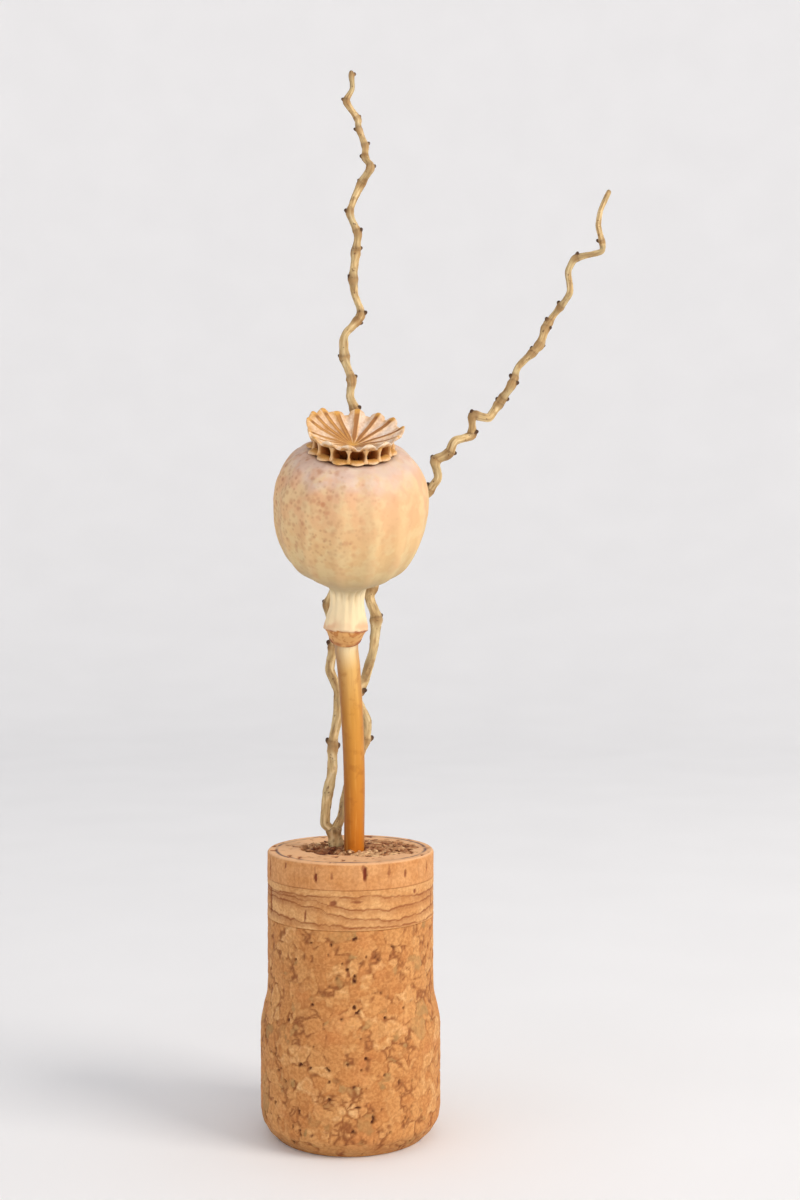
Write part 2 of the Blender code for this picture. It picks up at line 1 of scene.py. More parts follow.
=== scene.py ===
"""Looks of a dried poppy seed head and a forked, kinked twig that stand in a used cork.

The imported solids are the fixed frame. Each sub-assembly below builds finer surfaces that stand for its
solids, worked out with numpy in millimetres, and dresses them in procedural materials.
"""

import logging
import math
from dataclasses import dataclass
from enum import Enum

import bpy
import numpy as np
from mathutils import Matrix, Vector


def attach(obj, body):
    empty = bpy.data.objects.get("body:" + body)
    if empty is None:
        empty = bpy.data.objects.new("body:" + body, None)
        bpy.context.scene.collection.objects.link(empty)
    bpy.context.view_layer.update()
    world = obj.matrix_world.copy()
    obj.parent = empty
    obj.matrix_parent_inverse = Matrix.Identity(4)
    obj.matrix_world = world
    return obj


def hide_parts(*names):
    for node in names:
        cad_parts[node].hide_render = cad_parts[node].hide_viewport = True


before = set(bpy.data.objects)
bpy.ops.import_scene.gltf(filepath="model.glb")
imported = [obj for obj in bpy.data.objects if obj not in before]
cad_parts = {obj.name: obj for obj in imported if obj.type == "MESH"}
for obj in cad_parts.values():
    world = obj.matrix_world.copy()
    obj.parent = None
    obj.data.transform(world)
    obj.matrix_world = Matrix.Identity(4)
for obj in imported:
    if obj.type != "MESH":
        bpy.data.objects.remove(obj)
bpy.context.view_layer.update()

MM = 0.001
BODY = "root"
LOG = logging.getLogger("poppy")


# Numbers on whole arrays


def smooth_step(low: float, high: float, value: np.ndarray) -> np.ndarray:
    """0 below low, 1 above high and 3t^2 - 2t^3 between them."""
    t = np.clip((value - low) / (high - low), 0.0, 1.0)
    return t * t * (3.0 - 2.0 * t)


def bell(distance: np.ndarray, width: float | np.ndarray) -> np.ndarray:
    """A bell curve, 1 at no distance and 0.37 at the width: exp of minus (distance over width) squared."""
    return np.exp(-((distance / width) ** 2))


def cell_draw(cells: np.ndarray, seed: int) -> np.ndarray:
    """A fixed random number for each cell of a whole-number lattice.

    Formula: the three cell numbers are multiplied by large odd numbers, mixed by exclusive-or and shifts,
    and the lowest 24 bits are read as a share.

    Args:
        cells: whole numbers, shape (..., 3).
        seed: picks one of many unlike draws.

    Returns:
        Values from 0 to 1, shape (...).
    """
    whole = cells.astype(np.int64).astype(np.uint64)
    mixed = whole[..., 0] * np.uint64(73856093) ^ whole[..., 1] * np.uint64(19349663)
    mixed ^= whole[..., 2] * np.uint64(83492791) ^ np.uint64(seed * 2654435761 % 2**32)
    mixed = (mixed ^ (mixed >> np.uint64(13))) * np.uint64(1274126177)
    mixed = (mixed ^ (mixed >> np.uint64(15))) * np.uint64(2246822519)
    mixed ^= mixed >> np.uint64(16)
    return (mixed & np.uint64(0xFFFFFF)).astype(float) / 0xFFFFFF


def soft_noise(points: np.ndarray, size: float, seed: int = 0, octaves: int = 2) -> np.ndarray:
    """Smooth random hills.

    Formula: the draws at the eight corners of a point's lattice cell, mixed by the smoothed place in the
    cell. Each further octave has half the size and half the height.

    Args:
        points: places in millimetres, shape (..., 3).
        size: width of one hill in millimetres.
        seed: picks the hills.
        octaves: how many layers are added.

    Returns:
        Values from about -1 to 1, shape (...).
    """
    total = np.zeros(points.shape[:-1])
    height, sum_of_heights = 1.0, 0.0
    for octave in range(octaves):
        scaled = points / size + 17.3 * octave
        cell = np.floor(scaled)
        t = scaled - cell
        t = t * t * (3.0 - 2.0 * t)
        layer = np.zeros_like(total)
        for corner in np.ndindex(2, 2, 2):
            share = np.prod(np.where(np.array(corner) == 1, t, 1.0 - t), axis=-1)
            layer += share * cell_draw(cell + np.array(corner), seed + octave)
        total += height * (2.0 * layer - 1.0)
        sum_of_heights += height
        height *= 0.5
        size *= 0.5
    return total / sum_of_heights * 1.6


@dataclass
class Granules:
    """What a lattice of random cells says at each point: distance to the seam, and draws of its cell."""

    seam: np.ndarray
    tone: np.ndarray
    kind: np.ndarray
    turn: np.ndarray


def find_granules(points: np.ndarray, size: float, seed: int) -> Granules:
    """Splits space into pressed granules.

    Formula: each lattice cell holds one centre at a random place. A point belongs to its nearest centre,
    and the seam is half the difference between its distances to the two nearest ones.

    Args:
        points: places in millimetres, shape (n, 3).
        size: mean width of a granule in millimetres.
        seed: picks the granules.

    Returns:
        The seam distance in millimetres and three draws of the granule, each of shape (n,).
    """
    home = np.floor(points / size)
    nearest = np.full(len(points), np.inf)
    second = np.full(len(points), np.inf)
    owner = np.zeros_like(points)
    for shift in np.ndindex(3, 3, 3):
        cell = home + np.array(shift) - 1
        place = np.stack([cell_draw(cell, seed + axis) for axis in range(3)], axis=-1)
        distance = np.linalg.norm((cell + place) * size - points, axis=-1)
        closer = distance < nearest
        second = np.where(closer, nearest, np.minimum(second, distance))
        nearest = np.where(closer, distance, nearest)
        owner = np.where(closer[:, None], cell, owner)
    draws = [cell_draw(owner, seed + 11 + index) for index in range(3)]
    return Granules((second - nearest) / 2.0, *draws)


def smooth_curve(points: np.ndarray, steps: int) -> np.ndarray:
    """The Catmull-Rom curve through points, with that many steps a span.

    Formula: in each span a cubic whose slope at a point is half the line between its two neighbours.

    Args:
        points: shape (n, k).
        steps: points for each span.

    Returns:
        Points of shape ((n - 1) * steps + 1, k).
    """
    padded = np.vstack([2 * points[0] - points[1], points, 2 * points[-1] - points[-2]])
    before, start, end, after = (padded[i : len(padded) - 3 + i, None] for i in range(4))
    t = np.linspace(0.0, 1.0, steps, endpoint=False)[None, :, None]
    curve = 0.5 * (
        2 * start
        + (end - before) * t
        + (2 * before - 5 * start + 4 * end - after) * t**2
        + (3 * start - before - 3 * end + after) * t**3
    )
    return np.vstack([curve.reshape(-1, points.shape[1]), points[-1:]])


def even_steps(line: np.ndarray, step: float) -> np.ndarray:
    """Points at even distances along a line, measured over its first three columns or all of them.

    Args:
        line: shape (n, k).
        step: distance between points, in the line's own unit.

    Returns:
        Points of shape (m, k).
    """
    spans = np.linalg.norm(np.diff(line[:, :3], axis=0), axis=1)
    along = np.concatenate([[0.0], np.cumsum(spans)])
    places = np.linspace(0.0, along[-1], max(2, int(round(along[-1] / step)) + 1))
    return np.stack([np.interp(places, along, column) for column in line.T], axis=1)


def split_spans(outline: list[tuple[float, float]], steps: list[float]) -> np.ndarray:
    """Points along straight spans, with a step of its own for each span, that keep every corner.

    Args:
        outline: its corners, two numbers each.
        steps: the largest step on each span.

    Returns:
        Points, shape (count, 2).
    """
    parts = []
    for start, end, step in zip(outline, outline[1:], steps):
        count = max(1, int(math.ceil(math.dist(start, end) / step)))
        share = np.arange(count)[:, None] / count
        parts.append(np.array(start) * (1.0 - share) + np.array(end) * share)
    return np.vstack([*parts, np.array(outline[-1:])])


def ease_corners(outline: np.ndarray, passes: int) -> np.ndarray:
    """Rounds an outline's corners: each point moves to a quarter, half and quarter of its neighbours.

    Args:
        outline: points, shape (count, 2).
        passes: how often the corners are eased.

    Returns:
        The eased points, with both ends where they were.
    """
    eased = outline.copy()
    for _ in range(passes):
        eased[1:-1] = (eased[:-2] + 2.0 * eased[1:-1] + eased[2:]) / 4.0
    return eased


def around(columns: int) -> np.ndarray:
    """Even angles round a circle, without the last one that would repeat the first."""
    return np.linspace(0.0, math.tau, columns, endpoint=False)


def round_points(
    radius: float | np.ndarray, angle: np.ndarray, height: float | np.ndarray
) -> np.ndarray:
    """Points from cylinder coordinates: the radius times the angle's cosine and sine, then the height.

    Args:
        radius: distance from Z.
        angle: in radians from +X.
        height: place along Z.

    Returns:
        Points of the three shapes' common shape, with x, y and z last.
    """
    coordinates = np.broadcast_arrays(radius * np.cos(angle), radius * np.sin(angle), height)
    return np.stack(coordinates, axis=-1)


def keep_sign(value: np.ndarray, power: float) -> np.ndarray:
    """The value's size raised to a power, with the value's own sign."""
    return np.sign(value) * np.abs(value) ** power


# Surfaces


class Closing(Enum):
    """How a stack of rings is made a closed surface."""

    POLES = "a fan of triangles over the first and over the last ring"
    LOOP = "the last ring is joined to the first"


@dataclass
class Surface:
    """A closed surface: points in millimetres, faces, and named values at the points."""

    points: np.ndarray
    quads: np.ndarray
    fans: np.ndarray
    values: dict[str, np.ndarray]

    @classmethod
    def from_rings(cls, rings: np.ndarray, values: dict[str, np.ndarray], closing: Closing) -> "Surface":
        """Joins neighbouring rings with quads.

        Args:
            rings: points, shape (rows, columns, 3).
            values: shape (rows, columns), or (rows, columns, 3), for each name.
            closing: how the ends are closed.

        Returns:
            The surface with its faces pointing out.
        """
        rows, columns, _ = rings.shape
        index = np.arange(rows * columns).reshape(rows, columns)
        after = np.roll(index, -1, axis=1)
        flat = {name: value.reshape(rows * columns, -1) for name, value in values.items()}
        points = rings.reshape(-1, 3)
        if closing is Closing.LOOP:
            quads = np.stack([index, after, np.roll(after, -1, 0), np.roll(index, -1, 0)], axis=-1)
            fans = np.zeros((0, 3), dtype=int)
        else:
            quads = np.stack([index[:-1], after[:-1], after[1:], index[1:]], axis=-1)
            first, last = np.full(columns, len(points)), np.full(columns, len(points) + 1)
            fans = np.vstack(
                [np.stack([first, after[0], index[0]], 1), np.stack([last, index[-1], after[-1]], 1)]
            )
            points = np.vstack([points, rings[0].mean(axis=0), rings[-1].mean(axis=0)])
            flat = {
                name: np.vstack([value, value[:columns].mean(0), value[-columns:].mean(0)])
                for name, value in flat.items()
            }
        return cls(points, quads.reshape(-1, 4), fans, flat).facing_out()

    def facing_out(self) -> "Surface":
        """Turns every face round if the enclosed volume, summed over the faces, is negative.

        Returns:
            The same surface, with its faces pointing out.
        """
        triangles = np.vstack([self.quads[:, [0, 1, 2]], self.quads[:, [0, 2, 3]], self.fans])
        a, b, c = (self.points[triangles[:, corner]] for corner in range(3))
        if np.sum(a * np.cross(b, c)) < 0.0:
            self.quads, self.fans = self.quads[:, ::-1], self.fans[:, ::-1]
        return self

    @classmethod
    def joined(cls, parts: list["Surface"]) -> "Surface":
        """One surface that holds several. A value that a part lacks is 0 there.

        Args:
            parts: the surfaces to put together.

        Returns:
            The one surface, its parts in the same order.
        """
        starts = np.cumsum([0, *[len(part.points) for part in parts]])
        widths = {name: value.shape[1] for part in parts for name, value in part.values.items()}
        values = {
            name: np.vstack([part.values.get(name, np.zeros((len(part.points), width))) for part in parts])
            for name, width in widths.items()
        }
        return cls(
            np.vstack([part.points for part in parts]),
            np.vstack([part.quads + start for part, start in zip(parts, starts)]),
            np.vstack([part.fans + start for part, start in zip(parts, starts)]),
            values,
        )

    def as_object(self, name: str, material: bpy.types.Material) -> bpy.types.Object:
        """Puts the surface into a smooth-shaded mesh object at the origin.

        Args:
            name: the object's name.
            material: its finish.

        Returns:
            The object, linked to the scene.
        """
        mesh = bpy.data.meshes.new(name)
        corners = np.concatenate([self.quads.ravel(), self.fans.ravel()]).astype(np.int32)
        sizes = np.concatenate([np.full(len(self.quads), 4), np.full(len(self.fans), 3)])
        starts = np.concatenate([[0], np.cumsum(sizes)[:-1]]).astype(np.int32)
        mesh.vertices.add(len(self.points))
        mesh.vertices.foreach_set("co", (self.points * MM).astype(np.float32).ravel())
        mesh.loops.add(len(corners))
        mesh.loops.foreach_set("vertex_index", corners)
        mesh.polygons.add(len(sizes))
        mesh.polygons.foreach_set("loop_start", starts)
        for key, value in self.values.items():
            kind, slot = ("FLOAT", "value") if value.shape[1] == 1 else ("FLOAT_VECTOR", "vector")
            mesh.attributes.new(key, kind, "POINT").data.foreach_set(slot, value.astype(np.float32).ravel())
        mesh.update(calc_edges=True)
        mesh.validate()
        mesh.shade_smooth()
        mesh.materials.append(material)
        made = bpy.data.objects.new(name, mesh)
        bpy.context.scene.collection.objects.link(made)
        return made


def turned_rings(outline: np.ndarray, columns: int) -> np.ndarray:
    """Rings about Z: x and y are the radius times the angle's cosine and sine, z the height.

    Args:
        outline: (radius, height) points, shape (rows, 2).
        columns: points in each ring.

    Returns:
        Points of shape (rows, columns, 3).
    """
    return round_points(outline[:, :1], around(columns)[None, :], outline[:, 1:])


def swept_rings(route: np.ndarray, radii: np.ndarray, side: tuple[float, float, float]) -> np.ndarray:
    """Rings square to a route: the centre plus the radius times (cosine of the angle along one
    direction plus its sine along the other), where the first direction is as near side as it can be.

    Args:
        route: centre points, shape (rows, 3).
        radii: shape (rows, columns).
        side: the direction of angle 0.

    Returns:
        Points of shape (rows, columns, 3).
    """
    tangent = np.gradient(route, axis=0)
    tangent /= np.linalg.norm(tangent, axis=1, keepdims=True)
    first = np.array(side) - (tangent @ np.array(side))[:, None] * tangent
    first /= np.linalg.norm(first, axis=1, keepdims=True)
    second = np.cross(tangent, first)
    angle = around(radii.shape[1])[None, :, None]
    ring = np.cos(angle) * first[:, None] + np.sin(angle) * second[:, None]
    return route[:, None] + radii[:, :, None] * ring


# Materials


def linear(code: str) -> tuple[float, float, float, float]:
    """The linear colour of an sRGB hex code."""
    shares = [int(code[start : start + 2], 16) / 255.0 for start in (1, 3, 5)]
    return (*[v / 12.92 if v <= 0.04045 else ((v + 0.055) / 1.055) ** 2.4 for v in shares], 1.0)


def add_node(tree: bpy.types.NodeTree, kind: str, settings: dict, sockets: dict) -> bpy.types.Node:
    """Adds a shader node with its settings and links.

    Args:
        tree: the material's node tree.
        kind: the node type's name after "ShaderNode".
        settings: properties to set, where "stops" fills a colour ramp with (place, hex code) pairs.
        sockets: for each input's name or number a constant or the output that it is linked to.

    Returns:
        The node.
    """
    node = tree.nodes.new("ShaderNode" + kind)
    for name, value in settings.items():
        if name != "stops":
            setattr(node, name, value)
            continue
        elements = node.color_ramp.elements
        while len(elements) < len(value):
            elements.new(1.0)
        for element, (place, code) in zip(elements, value):
            element.position = place
            element.color = linear(code)
    for name, value in sockets.items():
        if isinstance(value, bpy.types.NodeSocket):
            tree.links.new(value, node.inputs[name])
        else:
            node.inputs[name].default_value = value
    return node


class Pattern(Enum):
    """A random texture: its node type and the output that is read."""

    NOISE = ("TexNoise", "Fac")
    SPECKS = ("TexVoronoi", "Distance")


@dataclass(frozen=True)
class Source:
    """Where a colour takes its number from: a value kept at the points, or else a pattern whose
    features are about size millimetres wide. The pattern lies on Object coordinates, or along a
    vector that the points keep in millimetres."""

    value: str = ""
    size: float = 1.0
    detail: float = 2.0
    along: str = ""
    pattern: Pattern = Pattern.NOISE

    def add(self, tree: bpy.types.NodeTree) -> bpy.types.NodeSocket:
        """The output that gives the number.

        Args:
            tree: the material's nodes.

        Returns:
            The socket of the number.
        """
        if self.value:
            return add_node(tree, "Attribute", {"attribute_name": self.value}, {}).outputs["Fac"]
        if self.along:
            where = add_node(tree, "Attribute", {"attribute_name": self.along}, {}).outputs["Vector"]
        else:
            where = add_node(tree, "TexCoord", {}, {}).outputs["Object"]
        kind, output = self.pattern.value
        scale = 1.0 / (self.size if self.along else self.size * MM)
        sockets = {"Vector": where, "Scale": scale, "Detail": self.detail}
        return add_node(tree, kind, {}, sockets).outputs[output]


@dataclass(frozen=True)
class Coat:
    """A colour laid over those below it. Its mask is its strength, times the value of that name kept at
    the points, times how far the spread is into its band. A part that isn't given is left out."""

    code: str
    strength: float = 1.0
    value: str = ""
    spread: Source | None = None
    band: tuple[float, float] = (0.4, 0.6)
    blend: str = "MIX"

    def add(self, tree: bpy.types.NodeTree, below: bpy.types.NodeSocket) -> bpy.types.NodeSocket:
        """The colour output after this coat. A band that falls turns the spread round.

        Args:
            tree: the material's nodes.
            below: the colour under this coat.

        Returns:
            The socket of the colour on top.
        """
        mask = self.strength
        if self.spread:
            low, high = self.band
            limits = {"From Min": low, "From Max": high, "To Min": 0.0, "To Max": self.strength}
            settings = {"interpolation_type": "SMOOTHSTEP"}
            sockets = {"Value": self.spread.add(tree), **limits}
            mask = add_node(tree, "MapRange", settings, sockets).outputs["Result"]
        if self.value:
            held = Source(value=self.value).add(tree)
            mask = add_node(tree, "Math", {"operation": "MULTIPLY"}, {0: mask, 1: held}).outputs["Value"]
        sockets = {"Fac": mask, "Color1": below, "Color2": linear(self.code)}
        return add_node(tree, "MixRGB", {"blend_type": self.blend}, sockets).outputs["Color"]


@dataclass(frozen=True)
class Finish:
    """A dielectric surface: a ramp of colours over its base, then coats, and a fine bump from its grain
    that is relief millimetres high."""

    name: str
    roughness: float
    relief: float
    base: Source
    stops: tuple[tuple[float, str], ...]
    coats: tuple[Coat, ...]
    grain: Source = Source(size=0.4, detail=3.0)
    ior: float = 1.45

    def build(self) -> bpy.types.Material:
        """The material, with its constants on the shader's sockets.

        Returns:
            The material, ready for its piece.
        """
        made = bpy.data.materials.new(self.name)
        made.use_nodes = True
        tree = made.node_tree
        shader = tree.nodes["Principled BSDF"]
        shader.inputs["Roughness"].default_value = self.roughness
        shader.inputs["IOR"].default_value = self.ior
        ramp = add_node(tree, "ValToRGB", {"stops": self.stops}, {"Fac": self.base.add(tree)})
        colour = ramp.outputs["Color"]
        for coat in self.coats:
            colour = coat.add(tree, colour)
        tree.links.new(colour, shader.inputs["Base Color"])
        bump = add_node(tree, "Bump", {}, {"Distance": self.relief * MM, "Height": self.grain.add(tree)})
        tree.links.new(bump.outputs["Normal"], shader.inputs["Normal"])
        return made


@dataclass(frozen=True)
class AgglomeratedCork(Finish):
    """Cork granules pressed with glue and sanded: matt, each granule of its own tan, with thin seams
    that darken here and there, a few brown-olive granules, and holes where granules didn't meet, painted
    dark as painted shade in them."""

    name: str = "agglomerated cork, pressed granules, sanded"
    roughness: float = 0.85
    relief: float = 0.05
    base: Source = Source(value="tone")
    stops: tuple = ((0.0, "#BC793E"), (0.3, "#C38448"), (0.55, "#C98D50"), (0.8, "#D1995C"), (1.0, "#DDAD74"))
    coats: tuple = (
        Coat("#E8DED6", 1.0, "", Source(size=0.5, detail=3.0), (0.62, 0.38), "MULTIPLY"),
        Coat("#C8743E", 0.18, "", Source(size=5.0, detail=2.0), (0.52, 0.68)),
        Coat("#937444", 1.0, "olive"),
        Coat("#8A5226", 0.25, "", Source(size=0.5, detail=1.0), (0.68, 0.78)),
        Coat("#83481E", 1.0, "seam"),
        # Painted shade: dark in the holes
        Coat("#5A2A10", 1.0, "pit"),
    )


@dataclass(frozen=True)
class NaturalCork(Finish):
    """Sliced bark cork: matt and even, with brown growth lines, upright red-brown lenticels and fine
    pores, its top face painted paler as painted light from above, where a plain ring line has worn away in
    places."""

    name: str = "natural cork, sliced bark"
    roughness: float = 0.82
    relief: float = 0.04
    base: Source = Source(size=3.5, detail=3.0)
    stops: tuple = ((0.36, "#C98F54"), (0.64, "#D8A56B"))
    coats: tuple = (
        Coat("#EFE6DE", 1.0, "", Source(size=0.5, detail=3.0), (0.62, 0.38), "MULTIPLY"),
        # Painted light: the top face paler, as lit from above
        Coat("#F0BE8E", 0.75, "top"),
        Coat("#A9713F", 0.4, "", Source(size=0.8, detail=1.0), (0.70, 0.80)),
        Coat("#8C4C20", 1.0, "line"),
        Coat("#9A6238", 1.0, "torn"),
        Coat("#4A3440", 1.0, "ring"),
        Coat("#742A0A", 1.0, "slot"),
    )


@dataclass(frozen=True)
class CorkCrumbs(Finish):
    """Loose crumbs, flakes and torn fibres of cork held by glue: matt, from red-brown to straw."""

    name: str = "cork crumbs in glue"
    roughness: float = 0.88
    relief: float = 0.06
    base: Source = Source(value="tone")
    stops: tuple = ((0.0, "#521F0C"), (0.3, "#905630"), (0.6, "#C08C5E"), (1.0, "#EEC896"))
    coats: tuple = (Coat("#C4B0A4", 1.0, "", Source(size=0.5, detail=3.0), (0.65, 0.35), "MULTIPLY"),)


@dataclass(frozen=True)
class StrawStem(Finish):
    """A dry, smooth poppy stem: deep orange at the foot, amber above and cream just under the head,
    with a slight waxy sheen, painted shade down both sides, strongest on the left, and fine upright fibres."""

    name: str = "dried stem, waxy straw"
    roughness: float = 0.42
    relief: float = 0.02
    base: Source = Source(value="height")
    stops: tuple = (
        (0.0, "#A44C04"), (0.14, "#B46008"), (0.32, "#BE7218"), (0.5, "#C27F28"), (0.75, "#CA8F3C"),
        (0.9, "#D6A862"), (0.985, "#E8D0A0"),
    )
    coats: tuple = (
        # Painted shade: darker down the left side, and a little darker at the right edge
        Coat("#864A0C", 0.68, "", Source(value="side"), (0.1, -0.95)),
        Coat("#AA6A1C", 0.6, "", Source(value="side"), (0.55, 1.0)),
        Coat("#A05410", 0.20, "", Source(size=0.3, detail=3.0, along="fibre"), (0.52, 0.75)),
        Coat("#E8B45C", 0.22, "", Source(size=0.6, detail=2.0, along="fibre"), (0.5, 0.7)),
        Coat("#96500E", 0.35, "", Source(size=1.6, detail=3.0), (0.52, 0.72)),
    )
    grain: Source = Source(size=0.4, along="fibre")
    ior: float = 1.33


@dataclass(frozen=True)
class CapsuleSkin(Finish):
    """Dry pod skin: nearly matt, cream at the neck, khaki underneath and peach above, with soft brown
    specks that crowd at the upper left, a pale bloom round the crown, and an amber band with red-brown
    edges where petals and stamens fell off. Painted shade greys the pod's underside, most on the left,
    and darkens the troughs between the flutes at the top of the neck."""

    name: str = "dried poppy pod skin with bloom"
    roughness: float = 0.68
    relief: float = 0.03
    base: Source = Source(value="along")
    stops: tuple = (
        (0.0, "#E6CBA0"), (0.12, "#EAD2A8"), (0.26, "#EEDAB0"), (0.31, "#C4B088"), (0.37, "#BEA67A"),
        (0.46, "#CCAC78"), (0.66, "#D8B07C"), (0.84, "#DAAC80"), (0.94, "#D6AC8E"), (1.0, "#CEAE9A"),
    )
    coats: tuple = (
        Coat("#E6C28E", 0.8, "stripe"),
        Coat("#D4A070", 0.16, "body", Source(size=3.6, detail=3.0), (0.46, 0.66)),
        Coat("#DCCB98", 0.35, "body", Source(size=2.4, detail=3.0), (0.56, 0.40)),
        Coat("#C0845A", 0.30, "streak"),
        Coat("#B67850", 0.75, "speckle", Source(size=1.6, detail=0.0, pattern=Pattern.SPECKS), (0.42, 0.10)),
        Coat("#AE6E48", 0.70, "speckle", Source(size=1.15, detail=0.0, pattern=Pattern.SPECKS), (0.46, 0.12)),
        Coat("#A2623E", 0.65, "speckle", Source(size=0.85, detail=0.0, pattern=Pattern.SPECKS), (0.40, 0.08)),
        Coat("#D4C0B4", 0.9, "bloom", Source(size=1.8, detail=3.0), (0.25, 0.6)),
        # Painted shade: the pod's underside greyer, most on the left
        Coat("#B49C74", 1.0, "under"),
        # Painted shade in the troughs between the flutes at the top of the neck
        Coat("#A07E52", 1.0, "groove"),
        Coat("#D2926A", 1.0, "blush"),
        Coat("#D09A58", 1.0, "band"),
        Coat("#A8601E", 0.75, "band", Source(size=1.0, detail=3.0), (0.50, 0.64)),
        Coat("#8E3E14", 1.0, "scar"),
        Coat("#C8782A", 1.0, "inside"),
    )


@dataclass(frozen=True)
class CrownSkin(Finish):
    """Dry stigma disc: matt amber rays with brown velvet down their middle, on pale papery membrane,
    over amber pillars and lips, with painted shade on the pillars' inner faces, the lips' inner edge
    and notches, and the disc's underside towards the middle."""

    name: str = "dried stigma rays on papery membrane"
    roughness: float = 0.65
    relief: float = 0.03
    base: Source = Source(size=1.4)
    stops: tuple = ((0.36, "#E2C2A4"), (0.64, "#ECDACA"))
    coats: tuple = (
        Coat("#D6A04E", 1.0, "amber"),
        Coat("#EEE7E0", 1.0, "", Source(size=0.5, detail=3.0), (0.62, 0.38), "MULTIPLY"),
        Coat("#9C6438", 1.0, "velvet"),
        Coat("#EEDCC4", 1.0, "hem", Source(size=1.3, detail=2.0), (0.3, 0.6)),
        Coat("#6E3A18", 1.0, "tip"),
        # Painted shade: dark brown where the windows into the pod look dark
        Coat("#8A4408", 1.0, "inside"),
    )


@dataclass(frozen=True)
class TwigBark(Finish):
    """Dry thin bark: matt khaki in long pale and dark streaks, browner at knots, dark on bud scars."""

    name: str = "dry twig bark, wrinkled"
    roughness: float = 0.78
    relief: float = 0.07
    base: Source = Source(size=0.55, detail=3.0, along="fibre")
    stops: tuple = ((0.3, "#92724A"), (0.45, "#BA9A68"), (0.58, "#D2B684"), (0.72, "#E8D0A4"))
    coats: tuple = (
        Coat("#B0A078", 0.45, "", Source(size=4.0), (0.45, 0.65)),
        Coat("#946A3A", 0.8, "knot"),
        Coat("#8A6438", 0.5, "", Source(size=1.6, detail=3.0), (0.54, 0.68)),
        Coat("#644428", 0.7, "", Source(size=0.6, detail=1.0), (0.66, 0.75)),
        Coat("#3E2416", 1.0, "scar"),
    )
    grain: Source = Source(size=0.3, detail=3.0, along="fibre")


@dataclass(frozen=True)
class Sweep(Finish):
    """Matt studio paper: one pale grey, very slightly cloudy."""

    name: str = "studio paper, matt"
    roughness: float = 0.95
    relief: float = 0.01
    base: Source = Source(size=40.0, detail=1.0)
    stops: tuple = ((0.3, "#F3F3F4"), (0.7, "#F5F5F6"))
    coats: tuple = ()


def dress(surface: Surface, piece: str, node: str, finish: Finish) -> bpy.types.Object:
    """Makes a piece that stands for a node and rides on the one body.

    Args:
        surface: the piece's shape.
        piece: its name.
        node: the node that it stands for.
        finish: how it looks.

    Returns:
        The object.
    """
    made = surface.as_object(piece, finish.build())
    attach(made, BODY)
    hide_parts(node)
    LOG.info("%s: %d points, %d faces", piece, len(surface.points), len(surface.quads) + len(surface.fans))
    return made


# Cork


